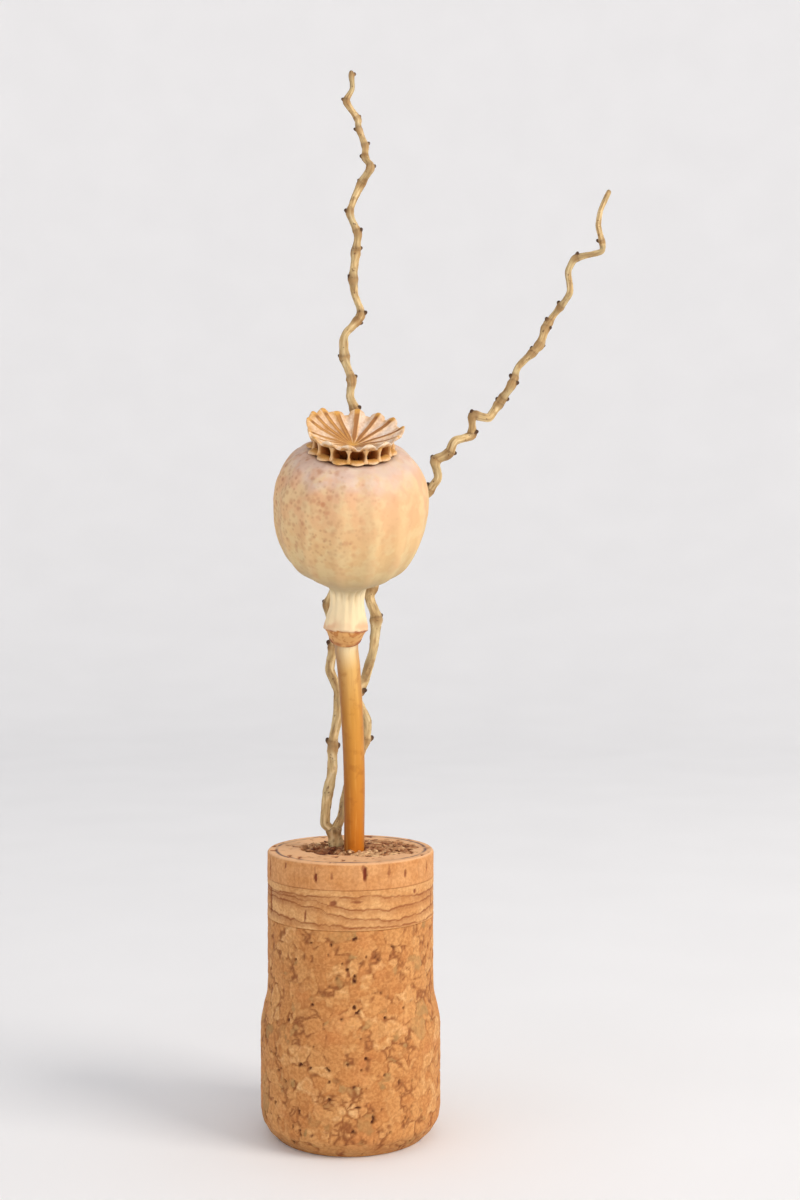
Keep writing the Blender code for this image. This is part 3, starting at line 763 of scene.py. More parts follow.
@dataclass
class CorkStopper:
    """The sparkling-wine cork: an agglomerated body with two discs of natural cork glued on top.
    Lengths are in millimetres, and heights run up from the foot."""

    length: float = 48.0
    foot_radius: float = 15.2
    neck_radius: float = 14.0
    foot_flat: float = 12.5
    chamfer_height: float = 3.5
    swell_start: float = 18.5
    swell_end: float = 25.5
    disc_joint: float = 43.65
    body_joint: float = 37.15
    glue_line: float = 0.03
    socket_floor: float = 34.5
    socket_radius: float = 4.5
    socket_centre: tuple[float, float] = (-0.6, -1.0)
    torn_centre: tuple[float, float] = (1.4, 1.1)
    torn_size: tuple[float, float] = (9.9, 8.0)
    torn_top: float = 48.2
    torn_depth: float = 2.0
    columns: int = 448
    side_step: float = 0.235
    granule_size: float = 3.0
    chip_size: float = 1.6
    chip_share: float = 0.38
    foot_height: float = 0.4
    seam_depth: float = 0.04
    open_seam_depth: float = 0.10
    hole_depth: float = 0.40
    lump_depth: float = 0.09
    growth_line_depth: float = 0.10
    wall_roughness: float = 0.05
    top_rounding: float = 0.5
    pore_depth: float = 0.2
    ring_radius: float = 12.5
    ring_width: float = 0.24
    # Growth lines of the inner disc: for each, (angle from the front to the right in degrees, height)
    growth_lines: tuple = (
        (
            (-180, 42.9), (-110, 43.0), (-60, 42.2), (-28, 42.5), (-5, 42.5),
            (18, 42.7), (39, 42.1), (59, 41.9), (110, 42.6),
        ),
        (
            (-180, 41.6), (-100, 42.2), (-60, 41.9), (-22, 41.8), (-12, 41.0),
            (0, 40.6), (28, 40.3), (59, 40.8), (120, 41.2),
        ),
        (
            (-180, 40.1), (-100, 41.0), (-58, 41.2), (-33, 40.8), (-20, 40.6),
            (-14, 39.7), (0, 39.2), (34, 38.4), (56, 38.9), (120, 39.8),
        ),
        (
            (-180, 38.9), (-100, 39.3), (-56, 38.5), (-33, 38.1), (0, 37.7),
            (20, 37.5), (60, 37.3), (130, 38.3),
        ),
    )
    # Lenticels of each disc's wall: (angle in degrees, height, half width, half height, depth)
    outer_slots: tuple = (
        (-22.1, 45.6, 0.30, 0.75, 0.5), (11.2, 46.3, 0.34, 1.15, 0.55), (-10.8, 46.0, 0.18, 0.6, 0.15),
        (28.0, 46.5, 0.20, 0.9, 0.1), (41.5, 45.9, 0.17, 0.7, 0.4), (-70.0, 45.7, 0.3, 1.9, 0.35),
        (-22.4, 47.0, 0.10, 0.8, 0.0), (10.0, 47.3, 0.16, 0.5, 0.2), (-48.0, 46.9, 0.2, 0.5, 0.3),
        (66.0, 46.2, 0.22, 0.8, 0.4), (110.0, 45.9, 0.4, 1.1, 0.8), (150.0, 46.4, 0.3, 0.8, 0.6),
        (-150.0, 46.0, 0.45, 1.1, 0.8), (-105.0, 45.4, 0.25, 0.9, 0.5), (185.0, 45.6, 0.3, 0.6, 0.5),
    )
    inner_slots: tuple = (
        (-69.0, 40.4, 0.55, 2.1, 0.8), (74.0, 40.5, 0.25, 2.3, 0.5), (-10.0, 41.6, 0.5, 0.45, 0.3),
        (-30.0, 39.2, 0.2, 0.9, 0.3), (50.0, 42.6, 0.3, 0.4, 0.4), (130.0, 40.6, 0.35, 1.8, 0.6),
        (-130.0, 40.2, 0.3, 1.5, 0.6), (178.0, 41.2, 0.3, 1.2, 0.5), (6.0, 41.9, 0.9, 0.22, 0.2),
    )

    def build(self) -> None:
        """Builds and dresses the body and both discs."""
        dress(self.body(), "cork_body_skin", "cork_body", AgglomeratedCork())
        inner = NaturalCork(stops=((0.36, "#CB9156"), (0.64, "#DCAA70")))
        dress(self.inner_disc(), "cork_disc_inner_skin", "cork_disc_inner", inner)
        outer = NaturalCork(stops=((0.36, "#C88A4F"), (0.64, "#D59C64")))
        dress(self.outer_disc(), "cork_disc_outer_skin", "cork_disc_outer", outer)

    def wall_radius(self, height: np.ndarray) -> np.ndarray:
        """Full at the foot and narrower above the waist, with a smooth step between."""
        step = smooth_step(self.swell_start, self.swell_end, height)
        return self.foot_radius - (self.foot_radius - self.neck_radius) * step

    def towards_socket(self, rings: np.ndarray, reach: np.ndarray) -> np.ndarray:
        """Moves rings off centre by reach, from 0 at the cork's wall to 1 at the drilled socket."""
        shift = np.array([*self.socket_centre, 0.0])
        return rings + reach[:, None, None] * shift

    def socket_reach(self, outline: np.ndarray, low: float) -> np.ndarray:
        """How far each outline point is from the wall's radius to the socket's, above a height."""
        inward = (self.neck_radius - outline[:, 0]) / (self.neck_radius - self.socket_radius)
        return np.where(outline[:, 1] > low, np.clip(inward, 0.0, 1.0), 0.0)

    def body(self) -> Surface:
        """The agglomerated body. Its outline runs from the foot's centre up the wall and down into the
        socket. Some large granules are split into chips. Seams sink in as bells of the seam distance,
        holes where noise is high near a seam, and the rest by low hills.

        Returns:
            The body in the object's frame, with its shader values.
        """
        top = self.body_joint - self.glue_line
        waist = np.linspace(self.chamfer_height + 1.2, top - 0.06, 24)
        outline = [
            (0.02, 0.0), (self.foot_flat, 0.0), (self.foot_flat + 1.45, self.chamfer_height * 0.4),
            (self.foot_radius - 0.25, self.chamfer_height - 0.4),
            *zip(self.wall_radius(waist), waist),
            (self.neck_radius - 0.02, top), (self.socket_radius, top),
            (self.socket_radius, self.socket_floor), (0.02, self.socket_floor),
        ]
        steps = [0.6, *[self.side_step] * 26, 0.1, 1.3, 1.2, 1.6]
        profile = ease_corners(split_spans(outline, steps), 1)
        reach = self.socket_reach(profile, top - 1.0)
        rings = self.towards_socket(turned_rings(profile, self.columns), reach)
        points = rings.reshape(-1, 3)

        warp = np.stack([soft_noise(points, 2.0, seed, 3) for seed in (31, 32, 33)], axis=-1)
        warped = (points + 0.6 * warp) * [1.0, 1.0, 1.15]
        large = find_granules(warped, self.granule_size, 3)
        small = find_granules(warped, self.chip_size, 7)
        chips = large.kind < self.chip_share
        seam = np.where(chips, np.minimum(large.seam, small.seam), large.seam)
        tone = np.where(chips, small.tone, large.tone)
        kind = np.where(chips, small.kind, large.turn)
        turn = np.where(chips, small.turn, large.kind)

        grain_way = np.stack([np.cos(9.0 * turn), np.sin(9.0 * turn), np.cos(23.0 * turn)], axis=-1)
        layers = np.sin(np.sum(points * grain_way, axis=-1) * math.tau / 1.3 + 3.0 * warp[:, 0])
        tone = 0.52 + 0.58 * (tone - 0.5) + 0.06 * layers * (kind > 0.5) + 0.08 * soft_noise(points, 0.9, 5)
        tone += 0.14 * bell(seam - 0.32, 0.16) * (turn > 0.4)
        open_seam = smooth_step(0.0, 0.5, soft_noise(points, 1.7, 9))
        line = bell(seam, 0.10 + 0.04 * open_seam)
        # Holes near seams and in a few granules: they sink in, and their dark colour is painted shade
        at_seam = smooth_step(0.80, 1.0, soft_noise(points, 1.0, 21)) * smooth_step(0.35, 0.1, seam)
        in_granule = 0.6 * smooth_step(0.95, 1.05, soft_noise(points, 0.9, 23)) * (kind > 0.85)
        pit = np.maximum(at_seam, in_granule)
        lumps = np.clip(0.5 + 0.5 * soft_noise(points, 1.6, 13), 0.0, 1.0)
        depth = (self.seam_depth + self.open_seam_depth * open_seam) * line
        depth += self.hole_depth * pit + self.lump_depth * lumps

        radius = np.hypot(*points[:, :2].T)
        foot = points[:, 2] <= self.foot_height
        wall = ~foot & (points[:, 2] < top - 0.05) & (radius > 2.0 * self.socket_radius)
        inward = -points * [1.0, 1.0, 0.0] / np.maximum(radius, 1.0)[:, None]
        points = points + np.where(wall, depth, 0.0)[:, None] * inward
        points[:, 2] += np.where(foot & (radius < self.foot_flat - 0.6), depth, 0.0)

        olive = smooth_step(0.9, 0.96, kind) * (0.35 + 0.45 * turn)
        olive *= 0.7 + 0.4 * soft_noise(points, 0.7, 2)
        olive = np.maximum(olive, 0.3 * smooth_step(3.6, 1.8, points[:, 2]))
        values = {
            "tone": np.clip(tone - 0.12 * smooth_step(3.8, 1.5, points[:, 2]), 0.0, 1.0),
            "olive": np.clip(olive, 0.0, 1.0),
            "seam": np.clip(line**1.6 * (0.18 + 0.74 * open_seam), 0.0, 1.0),
            "pit": np.clip(pit, 0.0, 1.0),
        }
        shape = rings.shape[:2]
        values = {name: value.reshape(shape) for name, value in values.items()}
        return Surface.from_rings(points.reshape(rings.shape), values, Closing.POLES)

    def slot_marks(self, points: np.ndarray, slots: tuple) -> tuple[np.ndarray, np.ndarray]:
        """Upright lenticels on the wall: each is a soft-edged ellipse, half width round the wall by half
        height along it, with a wobbling middle.

        Args:
            points: places on the disc, shape (rows, columns, 3).
            slots: (angle, height, half width, half height, depth) for each lenticel.

        Returns:
            How dark and how deep each point is, in shares and in millimetres.
        """
        angle = np.degrees(np.arctan2(points[..., 0], -points[..., 1]))
        wobble = 0.16 * soft_noise(points, 0.7, 41)
        dark, deep = np.zeros(angle.shape), np.zeros(angle.shape)
        for middle, height, half_width, half_height, depth in slots:
            turn = (angle - middle + 180.0) % 360.0 - 180.0
            across = np.radians(turn) * self.neck_radius + wobble
            reach = (across / half_width) ** 2 + ((points[..., 2] - height + wobble) / half_height) ** 2
            mark = smooth_step(1.5, 0.5, reach) * (np.hypot(points[..., 0], points[..., 1]) > 12.0)
            dark = np.maximum(dark, mark * min(1.0, 0.45 + depth))
            deep = np.maximum(deep, mark * depth * 0.5)
        return dark, deep

    def disc(self, outline: list, steps: list[float], low: float, high: float) -> tuple:
        """Rings of a disc with the socket through it: up its wall, in over its top, down the socket and
        back under it.

        Args:
            outline: (radius, height) corners.
            steps: point spacing of each span.
            low: the disc's lower face.
            high: its upper face.

        Returns:
            Rings of shape (rows, columns, 3), and which of their points are on the wall.
        """
        profile = split_spans(outline, steps)[:-1]
        inward = (self.neck_radius - 0.6 - profile[:, 0]) / (self.neck_radius - self.socket_radius)
        rings = self.towards_socket(turned_rings(profile, self.columns), np.clip(inward, 0.0, 1.0))
        wall = np.hypot(rings[..., 0], rings[..., 1]) > self.neck_radius - 0.3
        inside = smooth_step(low, low + 0.25, rings[..., 2]) * smooth_step(high, high - 0.25, rings[..., 2])
        return rings, wall * inside

    def sunk(self, rings: np.ndarray, depth: np.ndarray) -> np.ndarray:
        """Wall points moved towards the axis by a depth: x and y shrink by its share of the radius."""
        share = 1.0 - depth / self.neck_radius
        return rings * np.stack([share, share, np.ones_like(share)], axis=-1)

    def inner_disc(self) -> Surface:
        """The thicker disc. Its growth lines are curves of height over the angle with a small wobble,
        and each sinks in and darkens as a bell of the height's distance to it.

        Returns:
            The disc in the object's frame, with its shader values.
        """
        low, high = self.body_joint, self.disc_joint - self.glue_line
        wall, hole = self.neck_radius, self.socket_radius
        outline = [
            (wall - 0.02, low), (wall, low + 0.02), (wall, high - 0.06), (wall - 0.06, high),
            (hole, high), (hole, low), (wall - 0.02, low),
        ]
        rings, on_wall = self.disc(outline, [0.1, 0.17, 0.1, 1.3, 1.3, 1.3], low, high)
        angle = np.degrees(np.arctan2(rings[..., 0], -rings[..., 1]))
        upright = rings * [1.0, 1.0, 0.3]
        wobble = 0.22 * soft_noise(upright, 1.5, 51) + 0.13 * soft_noise(upright, 0.6, 52)
        line = np.zeros(angle.shape)
        for number, curve in enumerate(self.growth_lines):
            angles, heights = np.array(curve).T
            level = np.interp(angle, angles, heights, period=360.0) + wobble
            width = 0.15 + 0.06 * soft_noise(rings, 2.0, 53 + number)
            strength = 1.0 + 0.4 * soft_noise(rings, 3.0, 60 + number)
            mark = bell(rings[..., 2] - level, width)
            shade = smooth_step(0.8, 0.0, np.abs(rings[..., 2] - level + 0.35)) * 0.35
            line = np.maximum(line, np.maximum(mark, shade) * strength)
        faint = bell((rings[..., 2] * 1.55 + wobble * 4.0) % 1.0 - 0.5, 0.13) * 0.22
        line = np.clip(np.maximum(line, faint), 0.0, 1.0) * on_wall
        glue = smooth_step(high - 0.3, high, rings[..., 2])
        dark, deep = self.slot_marks(rings, self.inner_slots)
        hills = self.wall_roughness * (0.5 + 0.5 * soft_noise(rings, 1.5, 55))
        rings = self.sunk(rings, (self.growth_line_depth * line + deep + hills) * on_wall)
        zero = np.zeros(angle.shape)
        on_rim = np.hypot(rings[..., 0], rings[..., 1]) > 12.5
        line = np.maximum(line, 0.1 * glue * on_rim)
        values = {"line": line, "top": zero, "torn": zero, "ring": zero, "slot": dark}
        return Surface.from_rings(rings, values, Closing.LOOP)

    def outer_disc(self) -> Surface:
        """The thinner top disc. The torn hollow in its top is the lower half of a flat ellipsoid with a
        ragged edge, and the ring line is a bell of the distance to a wobbling circle.

        Returns:
            The disc in the object's frame, with its shader values.
        """
        low, high, rounding = self.disc_joint, self.length, self.top_rounding
        wall, hole = self.neck_radius, self.socket_radius
        turn = np.linspace(0, math.pi / 2, 5)
        bend = list(zip(wall - rounding + rounding * np.cos(turn), high - rounding + rounding * np.sin(turn)))
        outline = [
            (wall - 0.06, low), (wall, low + 0.06), *bend, (hole, high), (hole, low), (wall - 0.06, low),
        ]
        rings, on_wall = self.disc(outline, [0.1, 0.2, *[0.12] * 4, 0.2, 0.7, 1.4], low, high + 0.4)
        flat = np.abs(rings[..., 2] - high) < 0.01
        ragged = 0.09 * soft_noise(rings, 1.7, 61, 3)
        reach = (rings[..., :2] - self.torn_centre) / self.torn_size
        reach = np.hypot(reach[..., 0], reach[..., 1]) + ragged
        bowl = self.torn_top - self.torn_depth * np.sqrt(np.clip(1.0 - reach**2, 0.0, 1.0))
        bowl += 0.22 * soft_noise(rings, 0.8, 62) * (reach < 0.98)
        from_socket = np.hypot(*np.moveaxis(rings[..., :2] - self.socket_centre, -1, 0))
        mouth = np.abs(from_socket - hole) < 0.01
        top = np.where(flat | mouth, np.minimum(rings[..., 2], bowl), rings[..., 2])
        pores = smooth_step(0.55, 0.75, soft_noise(rings, 1.0, 63)) * flat
        hills = self.wall_roughness * (0.5 + 0.5 * soft_noise(rings, 1.2, 64))
        top = top - self.pore_depth * pores - flat * hills

        radius = np.hypot(rings[..., 0], rings[..., 1])
        wander = 0.25 * soft_noise(rings, 5.0, 65) + 0.08 * soft_noise(rings, 1.2, 66)
        ring = bell(radius - self.ring_radius - wander, self.ring_width) * flat
        ring *= 0.35 + 0.65 * smooth_step(-0.5, 0.0, soft_noise(rings, 4.0, 67))
        dark, deep = self.slot_marks(rings, self.outer_slots)
        hills = self.wall_roughness * (0.5 + 0.5 * soft_noise(rings, 1.8, 68))
        rings = self.sunk(rings, (deep + hills) * on_wall)
        rings[..., 2] = top
        glue = 0.3 * smooth_step(low + 0.25, low, rings[..., 2]) * (radius > 12.5)
        streak = 0.14 * smooth_step(0.35, 0.6, soft_noise(rings * [1.0, 1.0, 0.12], 0.5, 69)) * on_wall
        torn = smooth_step(1.02, 0.95, reach) * flat * (0.55 + 0.45 * soft_noise(rings, 0.6, 70))
        stain = 0.2 * smooth_step(0.3, 0.8, soft_noise(rings, 1.6, 71)) * flat
        values = {
            "line": np.clip(glue + streak, 0.0, 1.0),
            # Painted light: marks the top face, which the finish paints paler
            "top": smooth_step(high - 0.35, high - 0.05, rings[..., 2]) * (radius > 3.0),
            "torn": np.clip(torn + stain, 0.0, 1.0),
            "ring": np.clip(ring, 0.0, 1.0),
            "slot": np.clip(dark + 0.8 * pores, 0.0, 1.0),
        }
        return Surface.from_rings(rings, values, Closing.LOOP)


@dataclass(frozen=True)
class Strewn:
    """One kind of litter: how many pieces, their length and width, how flat they are, how far they turn
    from left to right and tilt, how much lighter than the mound they are, and where along X they lie."""

    count: int
    length: tuple[float, float]
    width: tuple[float, float]
    flatness: float
    disorder: float
    tilt: float
    lighter: float
    span: tuple[float, float]


class Litter(Enum):
    """What lies on the packing."""

    CRUMBS = Strewn(220, (0.3, 0.9), (0.3, 0.7), 0.8, 3.0, 0.5, 0.08, (-9.0, 12.0))
    FLAKES = Strewn(110, (1.0, 2.4), (0.6, 1.4), 0.4, 3.0, 0.6, 0.0, (-9.0, 3.0))
    FIBRES = Strewn(200, (1.6, 4.4), (0.35, 0.8), 0.6, 0.35, 0.16, 0.0, (2.0, 12.0))


@dataclass
class CrumbPacking:
    """Glued crumbs that fill the socket and the torn hollow round both stems."""

    centre: tuple[float, float, float] = (1.4, 1.1, 47.55)
    half_sizes: tuple[float, float, float] = (9.1, 7.3, 0.75)
    plug_centre: tuple[float, float] = (-0.6, -1.0)
    plug_radius: float = 4.2
    plug_floor: float = 34.8
    plug_top: float = 46.4
    pit_centre: tuple[float, float] = (-3.7, -3.9)
    pit_size: tuple[float, float] = (1.9, 1.3)
    pit_depth: float = 0.9
    mound_grid: tuple[int, int] = (44, 160)
    # How far up the mound's rows the plug ends and the dome begins
    plug_end: float = 0.2
    dome_start: float = 0.3
    seed: int = 19

    def build(self) -> None:
        """Builds and dresses the mound and what is strewn on it as one piece."""
        draw = np.random.default_rng(self.seed)
        strewn = [part for kind in Litter for part in self.scatter(kind, draw)]
        surface = Surface.joined([self.mound(), *strewn])
        dress(surface, "cork_crumb_packing", "cork_packing", CorkCrumbs())

    def height_at(self, x: np.ndarray, y: np.ndarray) -> np.ndarray:
        """The dome: half an ellipsoid, sunk by a bell into a torn pit at the left front of the stem.

        Args:
            x: place along X.
            y: place along Y.

        Returns:
            The mound's height there.
        """
        across = (x - self.centre[0]) / self.half_sizes[0]
        back = (y - self.centre[1]) / self.half_sizes[1]
        rise = np.sqrt(np.clip(1.0 - across**2 - back**2, 0.0, 1.0))
        return self.centre[2] + self.half_sizes[2] * rise - self.pit_depth * self.pit_at(x, y)

    def pit_at(self, x: np.ndarray, y: np.ndarray) -> np.ndarray:
        """How far into the torn pit a place is: the product of a bell along X and one along Y."""
        along_x = bell(x - self.pit_centre[0], self.pit_size[0])
        return along_x * bell(y - self.pit_centre[1], self.pit_size[1])

    def tone_at(self, x: np.ndarray, y: np.ndarray) -> np.ndarray:
        """Straw-coloured in front of the stem's foot, brown elsewhere, and painted dark in the pit as painted
        shade.

        Args:
            x: place along X.
            y: place along Y.

        Returns:
            A tone from 0, the darkest, to 1, the straw-coloured one.
        """
        front = smooth_step(-2.2, -4.0, y) * smooth_step(-2.5, -0.5, x) * smooth_step(6.0, 3.5, x)
        right = smooth_step(2.0, 4.5, x)
        # The pit's dark tone is painted shade
        return np.clip(0.56 + 0.30 * front - 0.02 * right - 0.60 * self.pit_at(x, y), 0.0, 1.0)

    def mound(self) -> Surface:
        """The plug's wall, then a flaring step to the dome, roughened by noise in two sizes.

        Returns:
            The plug and its dome as one closed surface.
        """
        rows, columns = self.mound_grid
        angle = around(columns)[None, :]
        rise = np.linspace(0.0, 1.0, rows)[:, None]
        plug_share = np.clip(rise / self.plug_end, 0.0, 1.0)
        spread = smooth_step(self.plug_end, self.dome_start, rise)
        inward = np.clip((rise - self.dome_start) / (1.0 - self.dome_start), 0.0, 1.0)
        shrink = 1.0 - 0.995 * inward
        half_x = self.plug_radius + (self.half_sizes[0] - self.plug_radius) * spread
        half_y = self.plug_radius + (self.half_sizes[1] - self.plug_radius) * spread
        middle_x = self.plug_centre[0] + (self.centre[0] - self.plug_centre[0]) * spread
        middle_y = self.plug_centre[1] + (self.centre[1] - self.plug_centre[1]) * spread
        x = middle_x + half_x * shrink * np.cos(angle)
        y = middle_y + half_y * shrink * np.sin(angle)
        low = self.plug_floor + (self.plug_top - self.plug_floor) * plug_share
        z = low + (self.height_at(x, y) - low) * spread
        rings = np.stack([x, y, z], axis=-1)
        torn = soft_noise(rings * [1.0, 1.0, 0.0], 1.6, 81, 3)
        fibres = soft_noise(rings * [0.35, 1.6, 0.0], 0.9, 83, 2) * smooth_step(2.0, 4.0, x)
        rough = (0.30 * torn + 0.22 * fibres - 0.10) * (spread > 0.99)
        rings[..., 2] += rough
        # Painted shade and light: the tone follows the roughness, darker in the low spots and lighter on the
        # raised ones
        tone = self.tone_at(x, y) + 0.9 * rough
        return Surface.from_rings(rings, {"tone": np.clip(tone, 0.0, 1.0)}, Closing.POLES)

    def scatter(self, kind: "Litter", draw: np.random.Generator) -> list[Surface]:
        """Crumbs, flakes or torn fibres on the dome.

        Formula: spheres with random radii, stretched and turned at random, in a disc whose places are an
        even draw of the angle and of the square root of the radius. Those outside the kind's own part of
        the mound are left out.

        Args:
            kind: what is strewn.
            draw: the random numbers.

        Returns:
            A closed surface for each.
        """
        litter = kind.value
        rows, columns = 5, 7
        lift = np.linspace(-math.pi / 2 + 0.35, math.pi / 2 - 0.35, rows)[:, None]
        turn = around(columns)[None, :]
        ball = round_points(np.cos(lift), turn, np.sin(lift))
        count = litter.count
        reach, way = np.sqrt(draw.uniform(0, 1, count)), draw.uniform(0, math.tau, count)
        x = self.centre[0] + reach * np.cos(way) * self.half_sizes[0] * 0.98
        y = self.centre[1] + reach * np.sin(way) * self.half_sizes[1] * 0.98
        z = self.height_at(x, y) + draw.uniform(-0.12, 0.10, count)
        length = draw.uniform(*litter.length, count)
        width = draw.uniform(*litter.width, count)
        stretch = np.stack([length, width, width * litter.flatness], axis=-1) / 2.0
        spin = draw.normal(0.15, litter.disorder, count)
        tip = draw.uniform(-litter.tilt, litter.tilt, count)
        lumps = 1.0 + 0.3 * draw.uniform(-1, 1, (count, rows, columns, 1))
        shapes = ball[None] * lumps * stretch[:, None, None, :]
        cos_tip, sin_tip = np.cos(tip)[:, None, None], np.sin(tip)[:, None, None]
        cos_spin, sin_spin = np.cos(spin)[:, None, None], np.sin(spin)[:, None, None]
        sx, sy, sz = shapes[..., 0], shapes[..., 1], shapes[..., 2]
        sx, sz = sx * cos_tip - sz * sin_tip, sx * sin_tip + sz * cos_tip
        sx, sy = sx * cos_spin - sy * sin_spin, sx * sin_spin + sy * cos_spin
        rings = np.stack([sx + x[:, None, None], sy + y[:, None, None], sz + z[:, None, None]], axis=-1)
        tone = self.tone_at(x, y) + draw.normal(litter.lighter, 0.22, count)
        tone = np.clip(tone, 0.02, 1.0)[:, None, None] * np.ones((1, rows, columns))
        kept = (x > litter.span[0]) & (x < litter.span[1])
        return [
            Surface.from_rings(ring, {"tone": shade}, Closing.POLES)
            for ring, shade in zip(rings[kept], tone[kept])
        ]


# Poppy


@dataclass
class PoppyHead:
    """The poppy: its stem, and the head's pod and rayed crown in the head's own frame, which nods to the
    front and leans a little to the right. Lengths are in millimetres."""

    head_base: tuple[float, float, float] = (-0.52, -9.75, 83.66)
    nod: float = math.radians(25.0)
    lean: float = math.radians(3.2)
    fit_gap: float = 0.3
    stem_offset: float = 0.25
    stem_points: tuple = (
        (0.7, -1.9, 37.5), (0.68, -2.3, 48.0), (0.72, -3.5, 60.0), (0.5, -5.4, 69.5), (0.0, -7.9, 78.5),
    )
    stem_radii: tuple[float, float] = (1.64, 1.95)
    stem_columns: int = 48
    # Pod outline, (height along the axis, radius)
    outline: tuple = (
        (0.0, 2.4), (0.5, 2.75), (1.8, 3.25), (2.5, 3.55), (3.0, 3.5), (4.2, 3.2), (6.0, 2.8),
        (7.6, 2.66), (9.2, 2.75), (10.3, 3.3), (11.0, 4.2), (11.7, 5.4), (12.7, 6.9), (13.9, 8.6),
        (15.7, 10.0), (19.3, 11.42), (23.5, 11.9), (26.9, 11.7), (29.4, 10.8), (31.6, 9.2), (32.8, 7.2),
    )
    mouth_radius: float = 5.2
    mouth_height: float = 32.9
    wall: float = 1.1
    chamber_floor: float = 11.9
    rib_height: float = 0.14
    flute_depth: float = 0.15
    pod_lumps: float = 0.10
    pod_roughness: float = 0.03
    neck_wrinkles: float = 0.05
    # The scar line runs round the neck at this height, tilted so that it is higher at the front
    scar_height: float = 1.95
    scar_tilt: float = 1.35
    band_depth: float = 0.14
    # Crown rays: (angle from the right, counter-clockwise from above; tip radius; lift of the tip)
    rays: tuple = (
        (5, 7.7, 0.2), (38, 7.6, 0.1), (62, 7.6, 0.0), (89, 7.6, 0.1), (115, 7.5, 0.0),
        (132, 7.8, 0.6), (149, 7.8, 0.5), (164, 7.6, 0.2), (190, 7.0, -0.3), (214, 7.2, -0.2),
        (240, 7.3, 0.0), (266, 7.3, 0.0), (291, 7.3, 0.0), (313, 7.4, 0.0), (339, 7.5, 0.0),
    )
    crown_base: float = 33.2
    crown_radius: float = 7.6
    centre_height: float = 0.75
    rim_height: float = 3.1
    notch: float = 0.42
    lobe_width: float = 1.3
    ring_radii: tuple[float, float] = (5.0, 6.2)
    ring_height: float = 0.5
    ring_drop: float = 0.12
    lip: float = 0.62
    pillar_radii: tuple[float, float] = (3.6, 6.4)
    ridge_height: float = 0.40
    channel_depth: float = 0.16
    membrane_sag: float = 0.14
    tip_rise: float = 0.42
    pod_columns: int = 384
    ray_columns: int = 36
    funnel_rows: tuple[int, int] = (52, 30)

    def build(self) -> None:
        """Builds and dresses the stem, the pod and the crown."""
        dress(self.stem(), "poppy_stem_skin", "poppy_stem", StrawStem())
        dress(self.pod(), "poppy_capsule_skin", "poppy_capsule", CapsuleSkin())
        dress(self.crown(), "poppy_crown_skin", "poppy_crown", CrownSkin())

    def turned(self, points: np.ndarray) -> np.ndarray:
        """From the head's frame to the object's: nod about X, then lean about Y, then move to the base.

        Args:
            points: in the head's frame, with x, y and z last.

        Returns:
            The points in the object's frame.
        """
        c, s = math.cos(self.nod), math.sin(self.nod)
        nod = np.array([[1, 0, 0], [0, c, -s], [0, s, c]])
        c, s = math.cos(self.lean), math.sin(self.lean)
        lean = np.array([[c, 0, s], [0, 1, 0], [-s, 0, c]])
        return points @ (lean @ nod).T + np.array(self.head_base)

    def lobes(self, angle: np.ndarray) -> tuple[np.ndarray, np.ndarray]:
        """The place of an angle counted in rays, and the turn in radians to its nearest ray.

        Args:
            angle: in radians from +X in the head's frame.

        Returns:
            The place, 0 at the first ray and 1 at the second, and the turn.
        """
        rays = np.radians([ray[0] for ray in self.rays])
        grown = np.concatenate([rays - math.tau, rays, rays + math.tau])
        place = np.interp(angle, grown, np.arange(len(grown)) - len(rays))
        nearest = np.round(place).astype(int)
        return place, angle - grown[nearest + len(rays)]

    def stem(self) -> Surface:
        """A tube along a smooth curve that meets the head square, thickening evenly upwards, with faint
        upright fibres.

        Returns:
            The stem in the object's frame, with its shader values.
        """
        axis = self.turned(np.array([0.0, 0.0, 1.0])) - np.array(self.head_base)
        end = np.array(self.head_base) - axis * (self.fit_gap - 0.25) + [self.stem_offset, 0.0, 0.0]
        points = np.vstack([self.stem_points, end - axis * 1.6, end])
        route = even_steps(smooth_curve(points, 16), 0.35)
        share = np.linspace(0.0, 1.0, len(route))[:, None]
        angle = around(self.stem_columns)[None, :]
        # Streaks that are much longer than wide: a cylinder as thick as the stem, with a short height
        fibre = round_points(1.8, angle, 3.29 * share)
        radius = self.stem_radii[0] + (self.stem_radii[1] - self.stem_radii[0]) * share
        radius = radius * (1.0 + 0.012 * soft_noise(fibre, 0.5, 91)) - 0.03
        rings = swept_rings(route, radius, (1.0, 0.0, 0.0))
        # The side value lets the finish paint shade down the stem's left and right edges
        values = {"height": share + 0 * angle, "side": np.cos(angle) + 0 * share, "fibre": fibre}
        return Surface.from_rings(rings, values, Closing.POLES)

